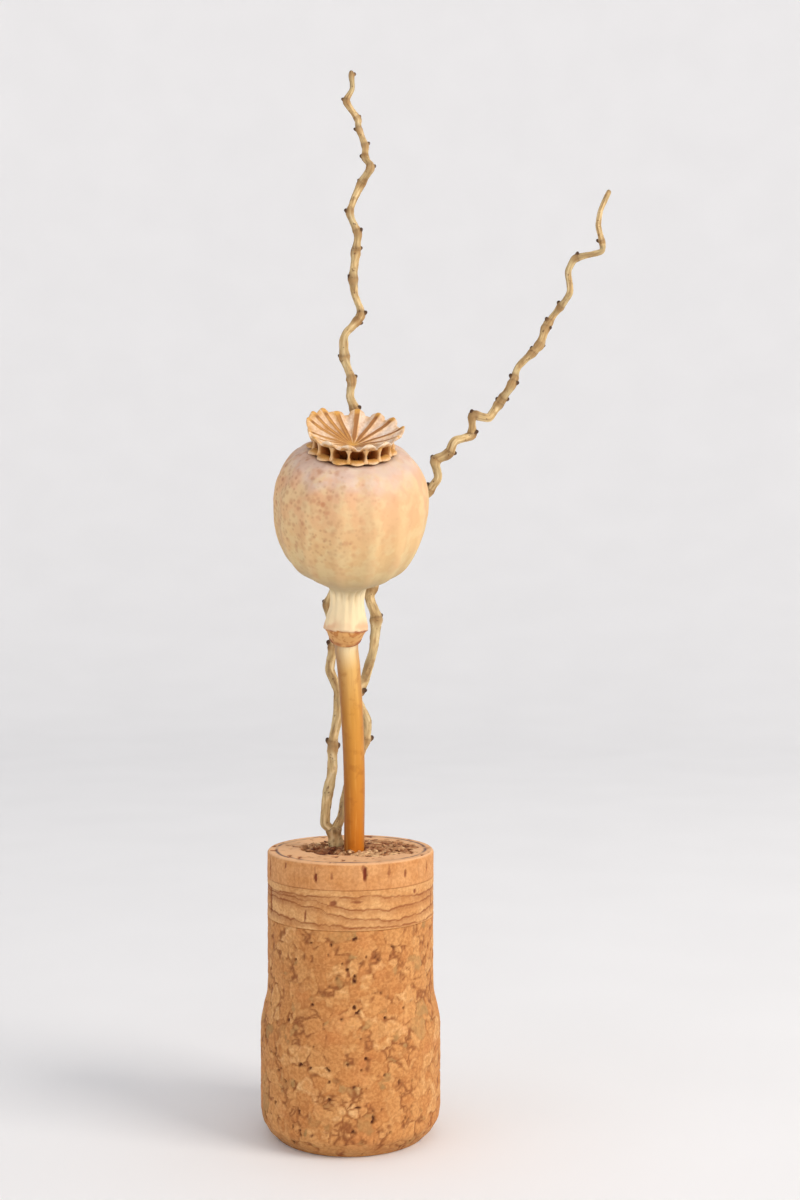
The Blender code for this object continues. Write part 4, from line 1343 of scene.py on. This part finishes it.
    def pod(self) -> Surface:
        """The hollow pod. Its outline is a smooth curve through the listed points, from the chamber's
        floor up inside, over the mouth and down outside to the base. Ribs are cosines of the place
        counted in rays, deeper as flutes round the neck's top. Below the ragged scar line, a sine of the
        angle plus noise, the neck is thinner.

        Returns:
            The pod in the object's frame, with its shader values.
        """
        outer = smooth_curve(np.array(self.outline), 12)
        outer = even_steps(outer, 0.25)
        inner = outer[(outer[:, 0] > self.chamber_floor + 1.2) & (outer[:, 0] < self.mouth_height - 2.0)]
        inner = even_steps(inner, 1.0) - [0.0, self.wall]
        low, high = self.chamber_floor, self.mouth_height
        floor = np.array([[low, 0.05], [low, 1.6], [low + 0.3, 3.2]])
        lip = np.array([[high - self.wall, self.mouth_radius + 0.5], [high, self.mouth_radius]])
        foot = np.array([[0.0, 1.6], [0.0, 0.8], [0.0, 0.05]])
        line = np.vstack([floor, inner, lip, outer[::-1], foot])
        inside_rows = len(floor) + len(inner) + 1
        height, base_radius = line[:, :1], line[:, 1:]
        angle = around(self.pod_columns)[None, :]
        place, _ = self.lobes(angle)
        rib = np.cos(math.tau * place)
        outside = (np.arange(len(line)) >= inside_rows)[:, None]

        fade = np.clip((height - 3.0) / 4.0, 0.0, 1.0) * np.clip(base_radius / self.mouth_radius, 0.0, 1.0)
        flutes = self.flute_depth * bell(height - 9.2, 1.5) * (0.5 + 0.5 * np.cos(place * 2.1))
        flat = round_points(base_radius, angle, height)
        lumps = self.pod_lumps * soft_noise(flat, 6.0, 101) * np.clip((height - 9.0) / 6.0, 0.0, 1.0)
        fine = self.pod_roughness * soft_noise(flat, 1.0, 102)
        edge = self.scar_height - self.scar_tilt * np.sin(angle)
        edge = edge + 0.20 * soft_noise(flat * [1, 1, 0], 1.1, 103, 3)
        ledge = -self.band_depth * smooth_step(edge + 0.12, edge - 0.1, height)
        ledge *= smooth_step(0.1, 0.8, height)
        rim = 0.08 * bell(height - edge - 0.2, 0.25)
        collar = 0.12 * bell(height - 4.0, 1.2) * np.cos(5.0 * angle + 1.0)
        on_neck = smooth_step(9.5, 7.0, height) * (height > 2.2)
        wrinkle = self.neck_wrinkles * soft_noise(flat * [1.0, 1.0, 0.15], 0.6, 104) * on_neck
        relief = (fade * self.rib_height + flutes) * rib + lumps + fine + ledge + rim + collar + wrinkle
        radius = np.maximum(base_radius + outside * relief, 0.02)
        rings = round_points(radius, angle, height)

        left = 0.5 - 0.5 * np.cos(angle - math.radians(15.0))
        side = 0.15 + 0.85 * smooth_step(0.0, 0.9, np.abs(np.cos(angle)))
        body = smooth_step(11.5, 16.0, height) + 0 * angle
        scar = bell(height - edge - 0.02, 0.16) * (0.75 + 0.7 * soft_noise(flat, 1.0, 105))
        low_rim = smooth_step(1.1, 0.5, height) * (0.6 + 0.8 * soft_noise(flat, 1.2, 106))
        long_hills = soft_noise(flat * [1.0, 1.0, 0.3], 1.7, 109) * smooth_step(31.5, 27.0, height)
        clusters = smooth_step(-0.3, 0.5, soft_noise(flat * [1.0, 1.0, 0.6], 3.2, 110))
        crowd = (0.05 + 1.1 * left**2) * (0.30 + 0.70 * smooth_step(15.0, 24.0, height))
        patches = smooth_step(-0.4, 0.3, soft_noise(flat, 1.4, 111))
        values = {
            "along": np.clip(height / 33.6 + 0.012 * soft_noise(flat, 2.0, 107), 0.0, 1.0),
            "stripe": 0.5 * smooth_step(0.1, 1.0, rib) * body * smooth_step(31.0, 26.0, height),
            "streak": np.clip((0.2 + 0.8 * left) * body * smooth_step(0.15, 0.6, long_hills), 0.0, 1.0),
            "body": body,
            "speckle": np.clip(crowd * body * (0.55 + 0.45 * clusters), 0.0, 1.0),
            "bloom": np.clip(0.7 * smooth_step(29.6, 32.4, height + 1.2 * soft_noise(flat, 3.0, 108)), 0, 1),
            # Painted shade: darker troughs between the neck's flutes, and a greyer underside, most on the
            # left
            "groove": 0.35 * smooth_step(0.2, 1.0, -rib) * bell(height - 9.2, 1.0),
            "under": (0.2 + 0.5 * left) * bell(height - 13.5, 2.6),
            "blush": 0.6 * bell(height - edge - 0.9, 0.9) * patches * side,
            "band": 0.95 * smooth_step(edge + 0.12, edge - 0.08, height),
            "scar": np.clip(np.maximum(scar, low_rim), 0.0, 1.0),
            "inside": np.where(outside, 0.0, 1.0) + 0 * angle,
        }
        values = {name: value * np.ones(rings.shape[:2]) for name, value in values.items()}
        return Surface.from_rings(self.turned(rings), values, Closing.POLES)

    def crown_top(self, share: np.ndarray) -> np.ndarray:
        """Height of the funnel's upper face: shallow in the middle and curling up to the rim."""
        return self.centre_height + (self.rim_height - self.centre_height) * share**1.4

    def crown(self) -> Surface:
        """Funnel, pillars and lips in one piece, moved to the top of the pod.

        Returns:
            The crown in the object's frame, with its shader values.
        """
        pieces = [self.funnel(), self.lips(), *[self.pillar(index) for index in range(len(self.rays))]]
        crown = Surface.joined(pieces)
        crown.points = self.turned(crown.points + np.array([0.0, 0.0, self.crown_base]))
        return crown

    def ray_values(self, place: np.ndarray, column: int) -> np.ndarray:
        """A ray's listed number, blended between neighbouring rays by a cosine.

        Args:
            place: counted in rays.
            column: which number of each listed ray.

        Returns:
            The blended number at each place.
        """
        listed = np.array([ray[column] for ray in self.rays])
        low = np.floor(place).astype(int)
        share = 0.5 - 0.5 * np.cos(math.pi * (place - low))
        return listed[low % len(listed)] * (1.0 - share) + listed[(low + 1) % len(listed)] * share

    def funnel(self) -> Surface:
        """The rayed disc as a thin closed shell: out over the top, round the rim and back below.

        The rim's radius falls from each rounded tip to the notch along a rounded power curve of the
        sideways distance, and the tip's top rises the same way. Each ray is a ridge, a flat-topped bell
        of the sideways distance to its wavy line, with a narrower channel cut down its middle. The
        membrane sags between two rays, and below the middle the shell thickens, where the chamber walls
        meet.

        Returns:
            The funnel in the crown's frame.
        """
        columns = self.ray_columns * len(self.rays)
        angle = around(columns)[None, :]
        place, turn = self.lobes(angle)
        off_ray = np.abs(place - np.round(place)) * 2.0
        tip = self.ray_values(place, 1)
        lift = self.ray_values(place, 2)
        rounded = (1.0 - np.clip(np.abs(turn) * tip / self.lobe_width, 0.0, 1.0) ** 2.4) ** 0.5
        rim = tip - self.notch * (1.0 - rounded) + 0.25 * off_ray**2
        outwards, inwards = self.funnel_rows
        share = np.concatenate([np.linspace(0.01, 1.0, outwards), np.linspace(1.0, 0.01, inwards)])
        share = share[:, None] ** 0.9
        upper = (np.arange(len(share)) < outwards)[:, None]
        radius = rim * share
        bent = round_points(rim, angle, 0.0)
        sideways = radius * np.sin(turn) + 0.16 * soft_noise(bent + 1.6 * share[..., None], 1.5, 123) * share
        width = np.minimum(0.36 + 0.02 * radius, 0.17 * radius + 0.03)
        ridge = np.exp(-((sideways / width) ** 4))
        channel = np.exp(-((sideways / (0.62 * width)) ** 4))
        rim_share = smooth_step(0.55, 1.0, share)
        flat = round_points(radius, angle, 0.0)
        ridge_share = smooth_step(0.05, 0.4, share) * (1.0 - 0.75 * smooth_step(0.7, 1.0, share))
        channel_share = smooth_step(0.1, 0.5, share) * smooth_step(0.98, 0.9, share)
        sag_share = smooth_step(0.3, 1.0, off_ray) * smooth_step(0.2, 0.5, share)
        top = self.crown_top(radius / self.crown_radius) + lift * share**2
        top = top + self.ridge_height * ridge * ridge_share - self.channel_depth * channel * channel_share
        top = top + self.tip_rise * rounded * smooth_step(0.68, 1.0, share)
        top = top - self.membrane_sag * sag_share + 0.10 * soft_noise(flat, 1.3, 121) * rim_share
        top = top + 0.14 * smooth_step(0.8, 1.0, share) * (1.0 - off_ray)
        core = 1.5 * smooth_step(4.9, 3.2, radius)
        thick = 0.50 - 0.26 * rim_share + 0.40 * bell(sideways, width * 1.2) + core
        height = np.where(upper, top, top - thick)
        edge_round = 0.12 * smooth_step(0.97, 1.0, share)
        height = height + np.where(upper, -edge_round, edge_round)
        rings = round_points(radius, angle, height)

        amber = np.exp(-((sideways / (1.05 * width)) ** 4)) + 0.25 * smooth_step(0.45, 0.15, share)
        amber += 0.35 * smooth_step(0.82, 0.97, share) + 0.40 * smooth_step(0.2, -0.6, np.cos(angle)) * share
        amber = np.where(upper, np.clip(amber, 0.0, 1.0), 0.75)
        edges = bell(np.abs(sideways) - 0.62 * width, 0.12 * width + 0.03)
        bare = 1.0 - 0.60 * smooth_step(-0.25, -0.55, np.cos(angle))
        velvet = (0.85 * channel * bare + (1.1 - 0.6 * bare) * edges) * smooth_step(0.04, 0.2, share)
        velvet = np.clip(velvet * smooth_step(0.95, 0.86, share), 0.0, 1.0)
        some_rays = smooth_step(-0.5, 0.0, soft_noise(flat, 1.5, 122))
        spot = bell(share - 0.88, 0.04) * bell(sideways, 0.28) * some_rays
        border = bell(np.abs(sideways) - width, 0.1 * width + 0.05) * smooth_step(0.3, 0.6, share) * upper
        hem = 0.7 * smooth_step(0.92, 1.0, share) * smooth_step(0.2, -0.4, np.sin(angle)) + 0.7 * border
        values = {
            "amber": amber,
            "velvet": np.where(upper, velvet, 0.0),
            "hem": np.clip(hem, 0.0, 1.0),
            "tip": 0.8 * spot * upper,
            # Painted shade on the underside, darker towards the middle
            "inside": np.where(upper, 0.0, smooth_step(0.85, 0.65, share)) + 0 * amber,
        }
        values = {name: value * np.ones(rings.shape[:2]) for name, value in values.items()}
        return Surface.from_rings(rings, values, Closing.POLES)

    def lips(self) -> Surface:
        """The valve ring: a closed oval section carried round the mouth, whose outer edge swells into a
        rounded lip that turns out and down between every two rays.

        Returns:
            The ring of lips in the crown's frame.
        """
        columns = self.ray_columns // 2 * len(self.rays)
        angle = around(columns)[:, None]
        place, _ = self.lobes(angle)
        between = (0.5 - 0.5 * np.cos(math.tau * place)) ** 0.55
        section = around(20)[None, :]
        inner, outer = self.ring_radii
        middle, half = (inner + outer) / 2.0, (outer - inner) / 2.0
        out = np.cos(section)
        longer = 1.0 + 0.7 * smooth_step(0.5, -0.7, np.cos(angle))
        radius = middle + half * out + self.lip * longer * between * smooth_step(-0.2, 1.0, out)
        thick = self.ring_height / 2.0 * (1.0 - 0.15 * smooth_step(0.0, 1.0, out) * between)
        height = self.ring_height / 2.0 - self.ring_drop + thick * np.sin(section)
        height = height - 0.12 * smooth_step(0.3, 1.0, out) * between + 0.10 * between * bell(out - 0.6, 0.5)
        radius = radius + 0.05 * soft_noise(round_points(radius, angle, height), 0.8, 131)
        rings = round_points(radius, angle, height)
        shape = rings.shape[:2]
        # Painted shade on the ring's inner edge and in the notches between the lips
        shade = 0.85 * smooth_step(0.1, -0.6, out) + 0.7 * smooth_step(0.5, 0.1, between)
        values = {
            "amber": np.full(shape, 0.95),
            "velvet": np.zeros(shape),
            "hem": 0.6 * smooth_step(0.5, 1.0, out) * between + np.zeros(shape),
            "tip": np.zeros(shape),
            "inside": shade + np.zeros(shape),
        }
        return Surface.from_rings(rings, values, Closing.LOOP)

    def pillar(self, index: int) -> Surface:
        """A chamber wall's end, standing on the ring under a ray: an oval section, long towards the
        middle, whose width has a waist halfway up and flares at both ends.

        Args:
            index: which ray it stands under.

        Returns:
            The pillar in the crown's frame.
        """
        turn = math.radians(self.rays[index][0])
        inner, outer = self.pillar_radii
        rise = np.linspace(0.0, 1.0, 14)[:, None]
        section = around(16)[None, :]
        flare = np.abs(2.0 * rise - 1.0) ** 2.0
        half_width = (0.21 + 0.60 * flare) * (0.75 + 0.25 * np.cos(section))
        half_depth = (outer - inner) / 2.0 * (0.88 + 0.14 * flare)
        along = (inner + outer) / 2.0 + half_depth * keep_sign(np.cos(section), 0.5)
        across = half_width * keep_sign(np.sin(section), 0.8)
        foot = self.ring_height * 0.35 - self.ring_drop
        head = self.crown_top(along / self.crown_radius) - 0.32
        height = foot + (head - foot) * rise
        x = along * math.cos(turn) - across * math.sin(turn)
        y = along * math.sin(turn) + across * math.cos(turn)
        rings = np.stack([x, y, height], axis=-1)
        shape = rings.shape[:2]
        values = {
            "amber": np.full(shape, 0.95),
            "velvet": np.zeros(shape),
            "hem": 0.3 * smooth_step(0.2, 1.0, np.cos(section)) + np.zeros(shape),
            "tip": np.zeros(shape),
            # Painted shade on the pillar's inner and side faces, all but its outer face
            "inside": 0.95 * smooth_step(0.85, 0.1, np.cos(section)) + np.zeros(shape),
        }
        return Surface.from_rings(rings, values, Closing.POLES)


# Twig


@dataclass
class KinkedTwig:
    """The dry twig: a short trunk that forks just above the cork into two zigzag branches with buds.
    Lengths are in millimetres."""

    foot: tuple = ((-2.3, 0.7, 40.5), (-2.4, 0.6, 48.0), (-2.8, 0.6, 50.8))
    trunk_radius: float = 1.0
    # (sideways, up) for each kink of the two branches
    upright: tuple = (
        (-4.5, 52.0), (-3.8, 57.6), (-3.0, 61.4), (-3.1, 65.6), (-2.3, 69.5), (-1.9, 74.4),
        (-3.7, 78.0), (-2.8, 82.6), (-3.1, 86.0), (-3.8, 89.0), (-2.7, 92.0), (-1.0, 96.5),
        (-2.4, 102.0), (-0.2, 108.0), (-1.4, 114.0), (-0.2, 118.5), (0.9, 121.8), (-0.2, 124.2),
        (0.3, 127.0), (-1.2, 131.0), (-1.2, 134.5), (2.0, 138.0), (0.5, 142.0), (0.4, 144.5),
        (0.9, 149.0), (1.3, 152.0), (-0.4, 155.2), (1.5, 160.2), (3.5, 162.9), (2.3, 165.0),
        (2.5, 166.8), (1.3, 169.6), (1.2, 171.6), (-1.0, 174.2), (0.3, 176.4), (0.0, 179.7),
    )
    leaning: tuple = (
        (-1.6, 53.0), (-0.7, 57.2), (0.4, 61.0), (2.5, 66.0), (2.9, 69.0), (0.7, 73.5),
        (2.4, 76.4), (3.8, 81.0), (4.4, 86.9), (2.9, 90.6), (6.3, 96.5), (8.0, 99.0),
        (9.0, 102.5), (11.3, 105.6), (13.4, 108.6), (14.9, 110.4), (14.1, 113.6), (16.8, 114.7),
        (17.4, 116.8), (20.7, 117.8), (20.5, 121.3), (23.6, 120.6), (25.0, 123.0), (27.4, 126.3),
        (28.4, 129.6), (32.1, 133.0), (33.1, 136.2), (34.9, 138.8), (37.4, 142.0), (37.0, 146.0),
        (38.2, 148.3), (42.8, 149.0), (43.2, 150.6), (42.1, 153.6), (42.6, 156.4), (44.3, 160.0),
    )
    # Buds: the place, counted in kinks, and the side, 1 right and -1 left going up
    upright_buds: tuple = (
        (2.7, 1), (3.0, -1), (6.8, -1), (9.0, -1), (11.1, 1), (13.0, 1), (14.1, -1),
        (16.1, 1), (18.0, 1), (19.0, -1), (20.6, 1), (21.0, 1), (22.7, -1), (23.9, -1), (24.2, 1),
        (25.0, 1), (26.0, -1), (27.2, -1), (28.0, 1), (29.0, -1), (30.0, 1), (30.8, -1),
        (32.0, 1), (33.0, -1), (34.8, 1),
    )
    leaning_buds: tuple = (
        (3.1, 1), (5.4, 1), (7.9, 1), (9.3, -1), (11.1, 1), (12.8, 1), (14.0, -1),
        (16.0, -1), (17.0, 1), (19.1, 1), (20.0, -1), (22.1, -1), (22.4, 1), (23.1, 1),
        (23.4, -1), (24.6, -1), (25.1, 1), (25.9, 1), (26.4, -1), (27.4, -1), (30.0, -1),
        (32.3, -1),
    )
    depth: float = 0.9
    upright_drift: float = 5.0
    leaning_drift: float = 7.0
    wander: tuple[float, float] = (0.25, 1.3)
    wander_turn: float = 2.4
    radii: tuple[float, float] = (0.82, 0.42)
    knot_swell: float = 0.30
    bud_length: float = 1.45
    bud_radius: float = 0.62
    corner_weight: float = 2.6
    columns: int = 22
    step: float = 0.26

    def build(self) -> None:
        """Builds and dresses the twig as one piece."""
        parts = [
            self.trunk(),
            *self.branch(self.upright, self.upright_buds, self.upright_drift, 1),
            *self.branch(self.leaning, self.leaning_buds, self.leaning_drift, 2),
        ]
        dress(Surface.joined(parts), "kinked_twig_skin", "kinked_twig", TwigBark())

    def corners(self, kinks: tuple, drift: float) -> np.ndarray:
        """The kinks with their depth: an even drift to the back plus a sine that turns by wander_turn
        radians from each kink to the next, after the trunk's last point.

        Args:
            kinks: (sideways, up) of each kink.
            drift: how far the branch goes to the back.

        Returns:
            Points, shape (count, 3).
        """
        sideways, up = np.array(kinks).T
        index = np.arange(len(kinks))
        share = index / (len(kinks) - 1)
        low, high = self.wander
        swing = (low + (high - low) * np.minimum(1.0, 1.6 * share)) * np.sin(self.wander_turn * index)
        route = np.stack([sideways, self.depth + drift * share + swing, up], axis=1)
        return np.vstack([self.foot[-1], route])

    def route(self, corners: np.ndarray) -> np.ndarray:
        """A curve that rounds each corner between the middles of its two spans, and a fourth column with
        the place counted in kinks. Each bend is the weighted mean of start, corner and end with a
        parabola's shares, and the corner's extra weight keeps the bend close to it.

        Args:
            corners: points, shape (count, 3).

        Returns:
            Points an even step apart with their places, shape (count, 4).
        """
        t = np.linspace(0.0, 1.0, 12, endpoint=False)[None, :, None]
        before, corner, after = corners[:-2, None], corners[1:-1, None], corners[2:, None]
        start, end = (before + corner) / 2.0, (corner + after) / 2.0
        weight = self.corner_weight
        bend = (1 - t) ** 2 * start + 2 * weight * t * (1 - t) * corner + t**2 * end
        bend = bend / ((1 - t) ** 2 + 2 * weight * t * (1 - t) + t**2)
        place = (np.arange(len(corners) - 2)[:, None] - 0.5 + t[..., 0]).reshape(-1, 1)
        line = np.hstack([bend.reshape(-1, 3), place])
        first = np.append(corners[0], -1.0)
        last = np.append(corners[-1], len(corners) - 2.0)
        return even_steps(np.vstack([first, line, last]), self.step)

    def bark(self, length: np.ndarray, seed: int) -> tuple[np.ndarray, np.ndarray]:
        """Wrinkles along a stretch of twig.

        Formula: noise on the points of a cylinder whose height is a fifth of the length, so that its
        hills are longer than they are wide, plus a cosine of twice the angle for an oval section.

        Args:
            length: distance along the twig for each ring, shape (rows,).
            seed: picks the wrinkles.

        Returns:
            A factor for the radius, shape (rows, columns), and the vector for the shader's streaks.
        """
        angle = around(self.columns)[None, :]
        long = length[:, None] + 0 * angle
        fibre = round_points(0.9, angle, 0.2 * long)
        fibre[..., 2] += 31.0 * seed
        slow = soft_noise(fibre * [1, 1, 1.6], 0.6, 141 + seed)
        quick = soft_noise(fibre * [1, 1, 3.0], 0.35, 151 + seed)
        oval = 0.07 * np.cos(2.0 * angle + 0.4 * long)
        return 1.0 + 0.15 * slow + 0.06 * quick + oval, fibre

    def trunk(self) -> Surface:
        """The trunk from the packing to the fork, knobbly and swelling into the fork.

        Returns:
            The trunk's tube, with its shader values.
        """
        foot = np.array(self.foot)
        points = np.vstack([foot, foot[-1] + (foot[-1] - foot[-2]) * 0.3])
        route = even_steps(smooth_curve(points, 12), self.step)
        length = np.arange(len(route)) * self.step
        wrinkles, fibre = self.bark(length, 3)
        share = length / length[-1]
        lumps = 0.3 * bell(share - 0.72, 0.08) + 0.35 * bell(share - 0.95, 0.07)
        radius = self.trunk_radius * (0.98 + lumps - 0.35 * smooth_step(0.96, 1.0, share))
        rings = swept_rings(route, radius[:, None] * wrinkles, (0.0, 1.0, 0.0))
        knot = np.ones(rings.shape[:2]) * smooth_step(0.7, 0.95, share)[:, None] * 0.6
        spots = 0.5 * smooth_step(0.4, 0.7, soft_noise(rings, 0.9, 161))
        return Surface.from_rings(rings, {"knot": knot, "scar": spots, "fibre": fibre}, Closing.POLES)

    def branch(self, kinks: tuple, buds: tuple, drift: float, seed: int) -> list[Surface]:
        """One branch and its buds.

        Args:
            kinks: (sideways, up) of its kinks.
            buds: place and side of its buds.
            drift: how far it goes to the back.
            seed: picks its wrinkles.

        Returns:
            The branch's tube, then a surface for each bud.
        """
        line = self.route(self.corners(kinks, drift))
        route, place = line[:, :3], line[:, 3]
        length = np.arange(len(route)) * self.step
        bud_place = np.array([bud for bud, _ in buds])
        bud_length = np.interp(bud_place, place, length)
        near = bell(length[:, None] - bud_length[None, :], 0.8).max(axis=1)
        share = (place + 1.0) / (place[-1] + 1.0)
        radius = self.radii[0] + (self.radii[1] - self.radii[0]) * share**2
        radius = radius * (1.0 + self.knot_swell * near)
        radius *= 1.0 - 0.3 * smooth_step(length[-1] - 0.4, length[-1], length)
        wrinkles, fibre = self.bark(length, seed)
        rings = swept_rings(route, radius[:, None] * wrinkles, (0.0, 1.0, 0.0))

        tangent = np.gradient(route, axis=0)
        tangent /= np.linalg.norm(tangent, axis=1, keepdims=True)
        surfaces = []
        scar = np.zeros(rings.shape[:2])
        for number, (bud, side) in enumerate(buds):
            index = int(round(bud_length[number] / self.step))
            along = tangent[index]
            across = np.array([along[2], 0.5 * (-1) ** number, -along[0]]) * side
            way = across / np.linalg.norm(across) + 0.4 * along
            way /= np.linalg.norm(way)
            size = 1.0 - 0.4 * bud / len(kinks)
            root = route[index] + way * radius[index] * 0.95
            scar = np.maximum(scar, 0.85 * bell(np.linalg.norm(rings - root, axis=-1), 0.42 * size + 0.1))
            surfaces.append(self.bud(route[index], way, along, size, number))
        ring_line = bell(length[:, None] - bud_length[None, :] - 0.35, 0.16).max(axis=1)
        scar = np.maximum(scar, 0.35 * ring_line[:, None])
        scar = np.maximum(scar, 0.5 * smooth_step(length[-1] - 0.7, length[-1], length)[:, None])
        knot = 0.75 * near[:, None] + np.zeros(rings.shape[:2])
        values = {"knot": knot, "scar": np.clip(scar, 0.0, 1.0), "fibre": fibre}
        return [Surface.from_rings(rings, values, Closing.POLES), *surfaces]

    def bud(self, place: np.ndarray, way: np.ndarray, along: np.ndarray, size: float, number: int) -> Surface:
        """A blunt spur: a tube from the centreline outwards whose radius shrinks as a power of the way
        left, and whose tip bends up along the twig.

        Args:
            place: its root on the twig's centreline.
            way: where it points.
            along: the twig's own direction there.
            size: its scale.
            number: picks its lumps.

        Returns:
            The bud.
        """
        rows, columns = 9, 10
        share = np.linspace(0.0, 1.0, rows)[:, None]
        reach = self.bud_length * size
        route = place + way * reach * share + along * 0.35 * size * share**2
        radius = self.bud_radius * size * (0.32 + 0.68 * np.sqrt(1.0 - share**2))
        angle = around(columns)[None, :]
        radius = radius * (1.0 + 0.12 * np.cos(3.0 * angle + number) + 0.0 * share)
        rings = swept_rings(route, radius, (0.1, 1.0, 0.3))
        shape = rings.shape[:2]
        scar = 0.25 + 0.7 * smooth_step(0.35, 0.9, share) + np.zeros(shape)
        values = {"knot": np.ones(shape), "scar": scar, "fibre": rings * 0.6}
        return Surface.from_rings(rings, values, Closing.POLES)


# Studio


@dataclass(frozen=True)
class Lamp:
    """A soft square light: where it is, what it faces, its side, power and colour."""

    name: str
    place: tuple[float, float, float]
    side: float
    power: float
    colour: str


@dataclass
class Studio:
    """A pale floor that curves up to a wall all round, soft lights, and the camera at the photo's
    angle. Lengths are in metres here."""

    floor_radius: float = 0.55
    bend_radius: float = 0.55
    wall_height: float = 0.12
    thickness: float = 0.004
    aim: tuple[float, float, float] = (0.008, -0.005, 0.09)
    camera_place: tuple[float, float, float] = (0.00833, -0.2795, 0.0982)
    camera_down: float = math.radians(1.70)
    lens: float = 50.0
    sensor: float = 36.0
    world: str = "#F2F2F4"
    world_strength: float = 0.68
    lamps: tuple[Lamp, ...] = (
        Lamp("key", (0.82, -0.46, 0.66), 0.5, 6.8, "#FFF8F0"),
        Lamp("front", (0.26, -0.82, 0.05), 0.4, 2.8, "#FFF6EC"),
        Lamp("fill", (-0.60, -0.45, 0.25), 0.5, 0.5, "#E6ECFF"),
    )

    def build(self) -> None:
        """Makes the floor, the lights, the world and the camera."""
        self.make_floor()
        for lamp in self.lamps:
            self.make_lamp(lamp)
        self.make_world()
        self.make_camera()

    def make_floor(self) -> None:
        """The floor: a flat disc, a quarter circle up and a short wall, turned about Z, with a thin
        underside that closes it."""
        bend = np.linspace(0.0, math.pi / 2, 24)
        radius = self.floor_radius + self.bend_radius * np.sin(bend)
        height = self.bend_radius * (1.0 - np.cos(bend))
        reach = self.floor_radius + self.bend_radius
        wall_top = self.bend_radius + self.wall_height
        top = np.vstack([[[0.001, 0.0]], np.stack([radius, height], axis=1), [[reach, wall_top]]])
        below = top[::-1] + [self.thickness, -self.thickness]
        below[-1] = (0.001, -self.thickness)
        rings = turned_rings(np.vstack([top, below]) / MM, 96)
        floor = Surface.from_rings(rings, {}, Closing.POLES).as_object("studio_floor", Sweep().build())

    def make_lamp(self, lamp: Lamp) -> None:
        """A square area light that faces the aim point, along its own -Z axis.

        Args:
            lamp: the light to make.
        """
        data = bpy.data.lights.new(lamp.name, "AREA")
        data.shape = "SQUARE"
        data.size = lamp.side
        data.energy = lamp.power
        data.color = linear(lamp.colour)[:3]
        made = bpy.data.objects.new(lamp.name, data)
        bpy.context.scene.collection.objects.link(made)
        made.location = lamp.place
        made.rotation_euler = (Vector(self.aim) - Vector(lamp.place)).to_track_quat("-Z", "Y").to_euler()

    def make_world(self) -> None:
        """Even ambient light of one pale colour."""
        world = bpy.data.worlds.new("studio air")
        world.use_nodes = True
        background = world.node_tree.nodes["Background"]
        background.inputs["Color"].default_value = linear(self.world)
        background.inputs["Strength"].default_value = self.world_strength
        bpy.context.scene.world = world

    def make_camera(self) -> None:
        """The camera, level but for its small tilt down."""
        data = bpy.data.cameras.new("camera")
        data.lens = self.lens
        data.sensor_width = self.sensor
        data.clip_start = 0.005
        made = bpy.data.objects.new("camera", data)
        bpy.context.scene.collection.objects.link(made)
        made.location = self.camera_place
        made.rotation_euler = (math.pi / 2 - self.camera_down, 0.0, 0.0)
        bpy.context.scene.camera = made
        bpy.context.scene.view_settings.view_transform = "Standard"


def main() -> None:
    """Builds every sub-assembly and the studio."""
    logging.basicConfig(level=logging.INFO, format="%(message)s")
    for assembly in (Studio(), CorkStopper(), CrumbPacking(), PoppyHead(), KinkedTwig()):
        LOG.info("building %s", type(assembly).__name__)
        assembly.build()


if __name__ == "__main__":
    main()
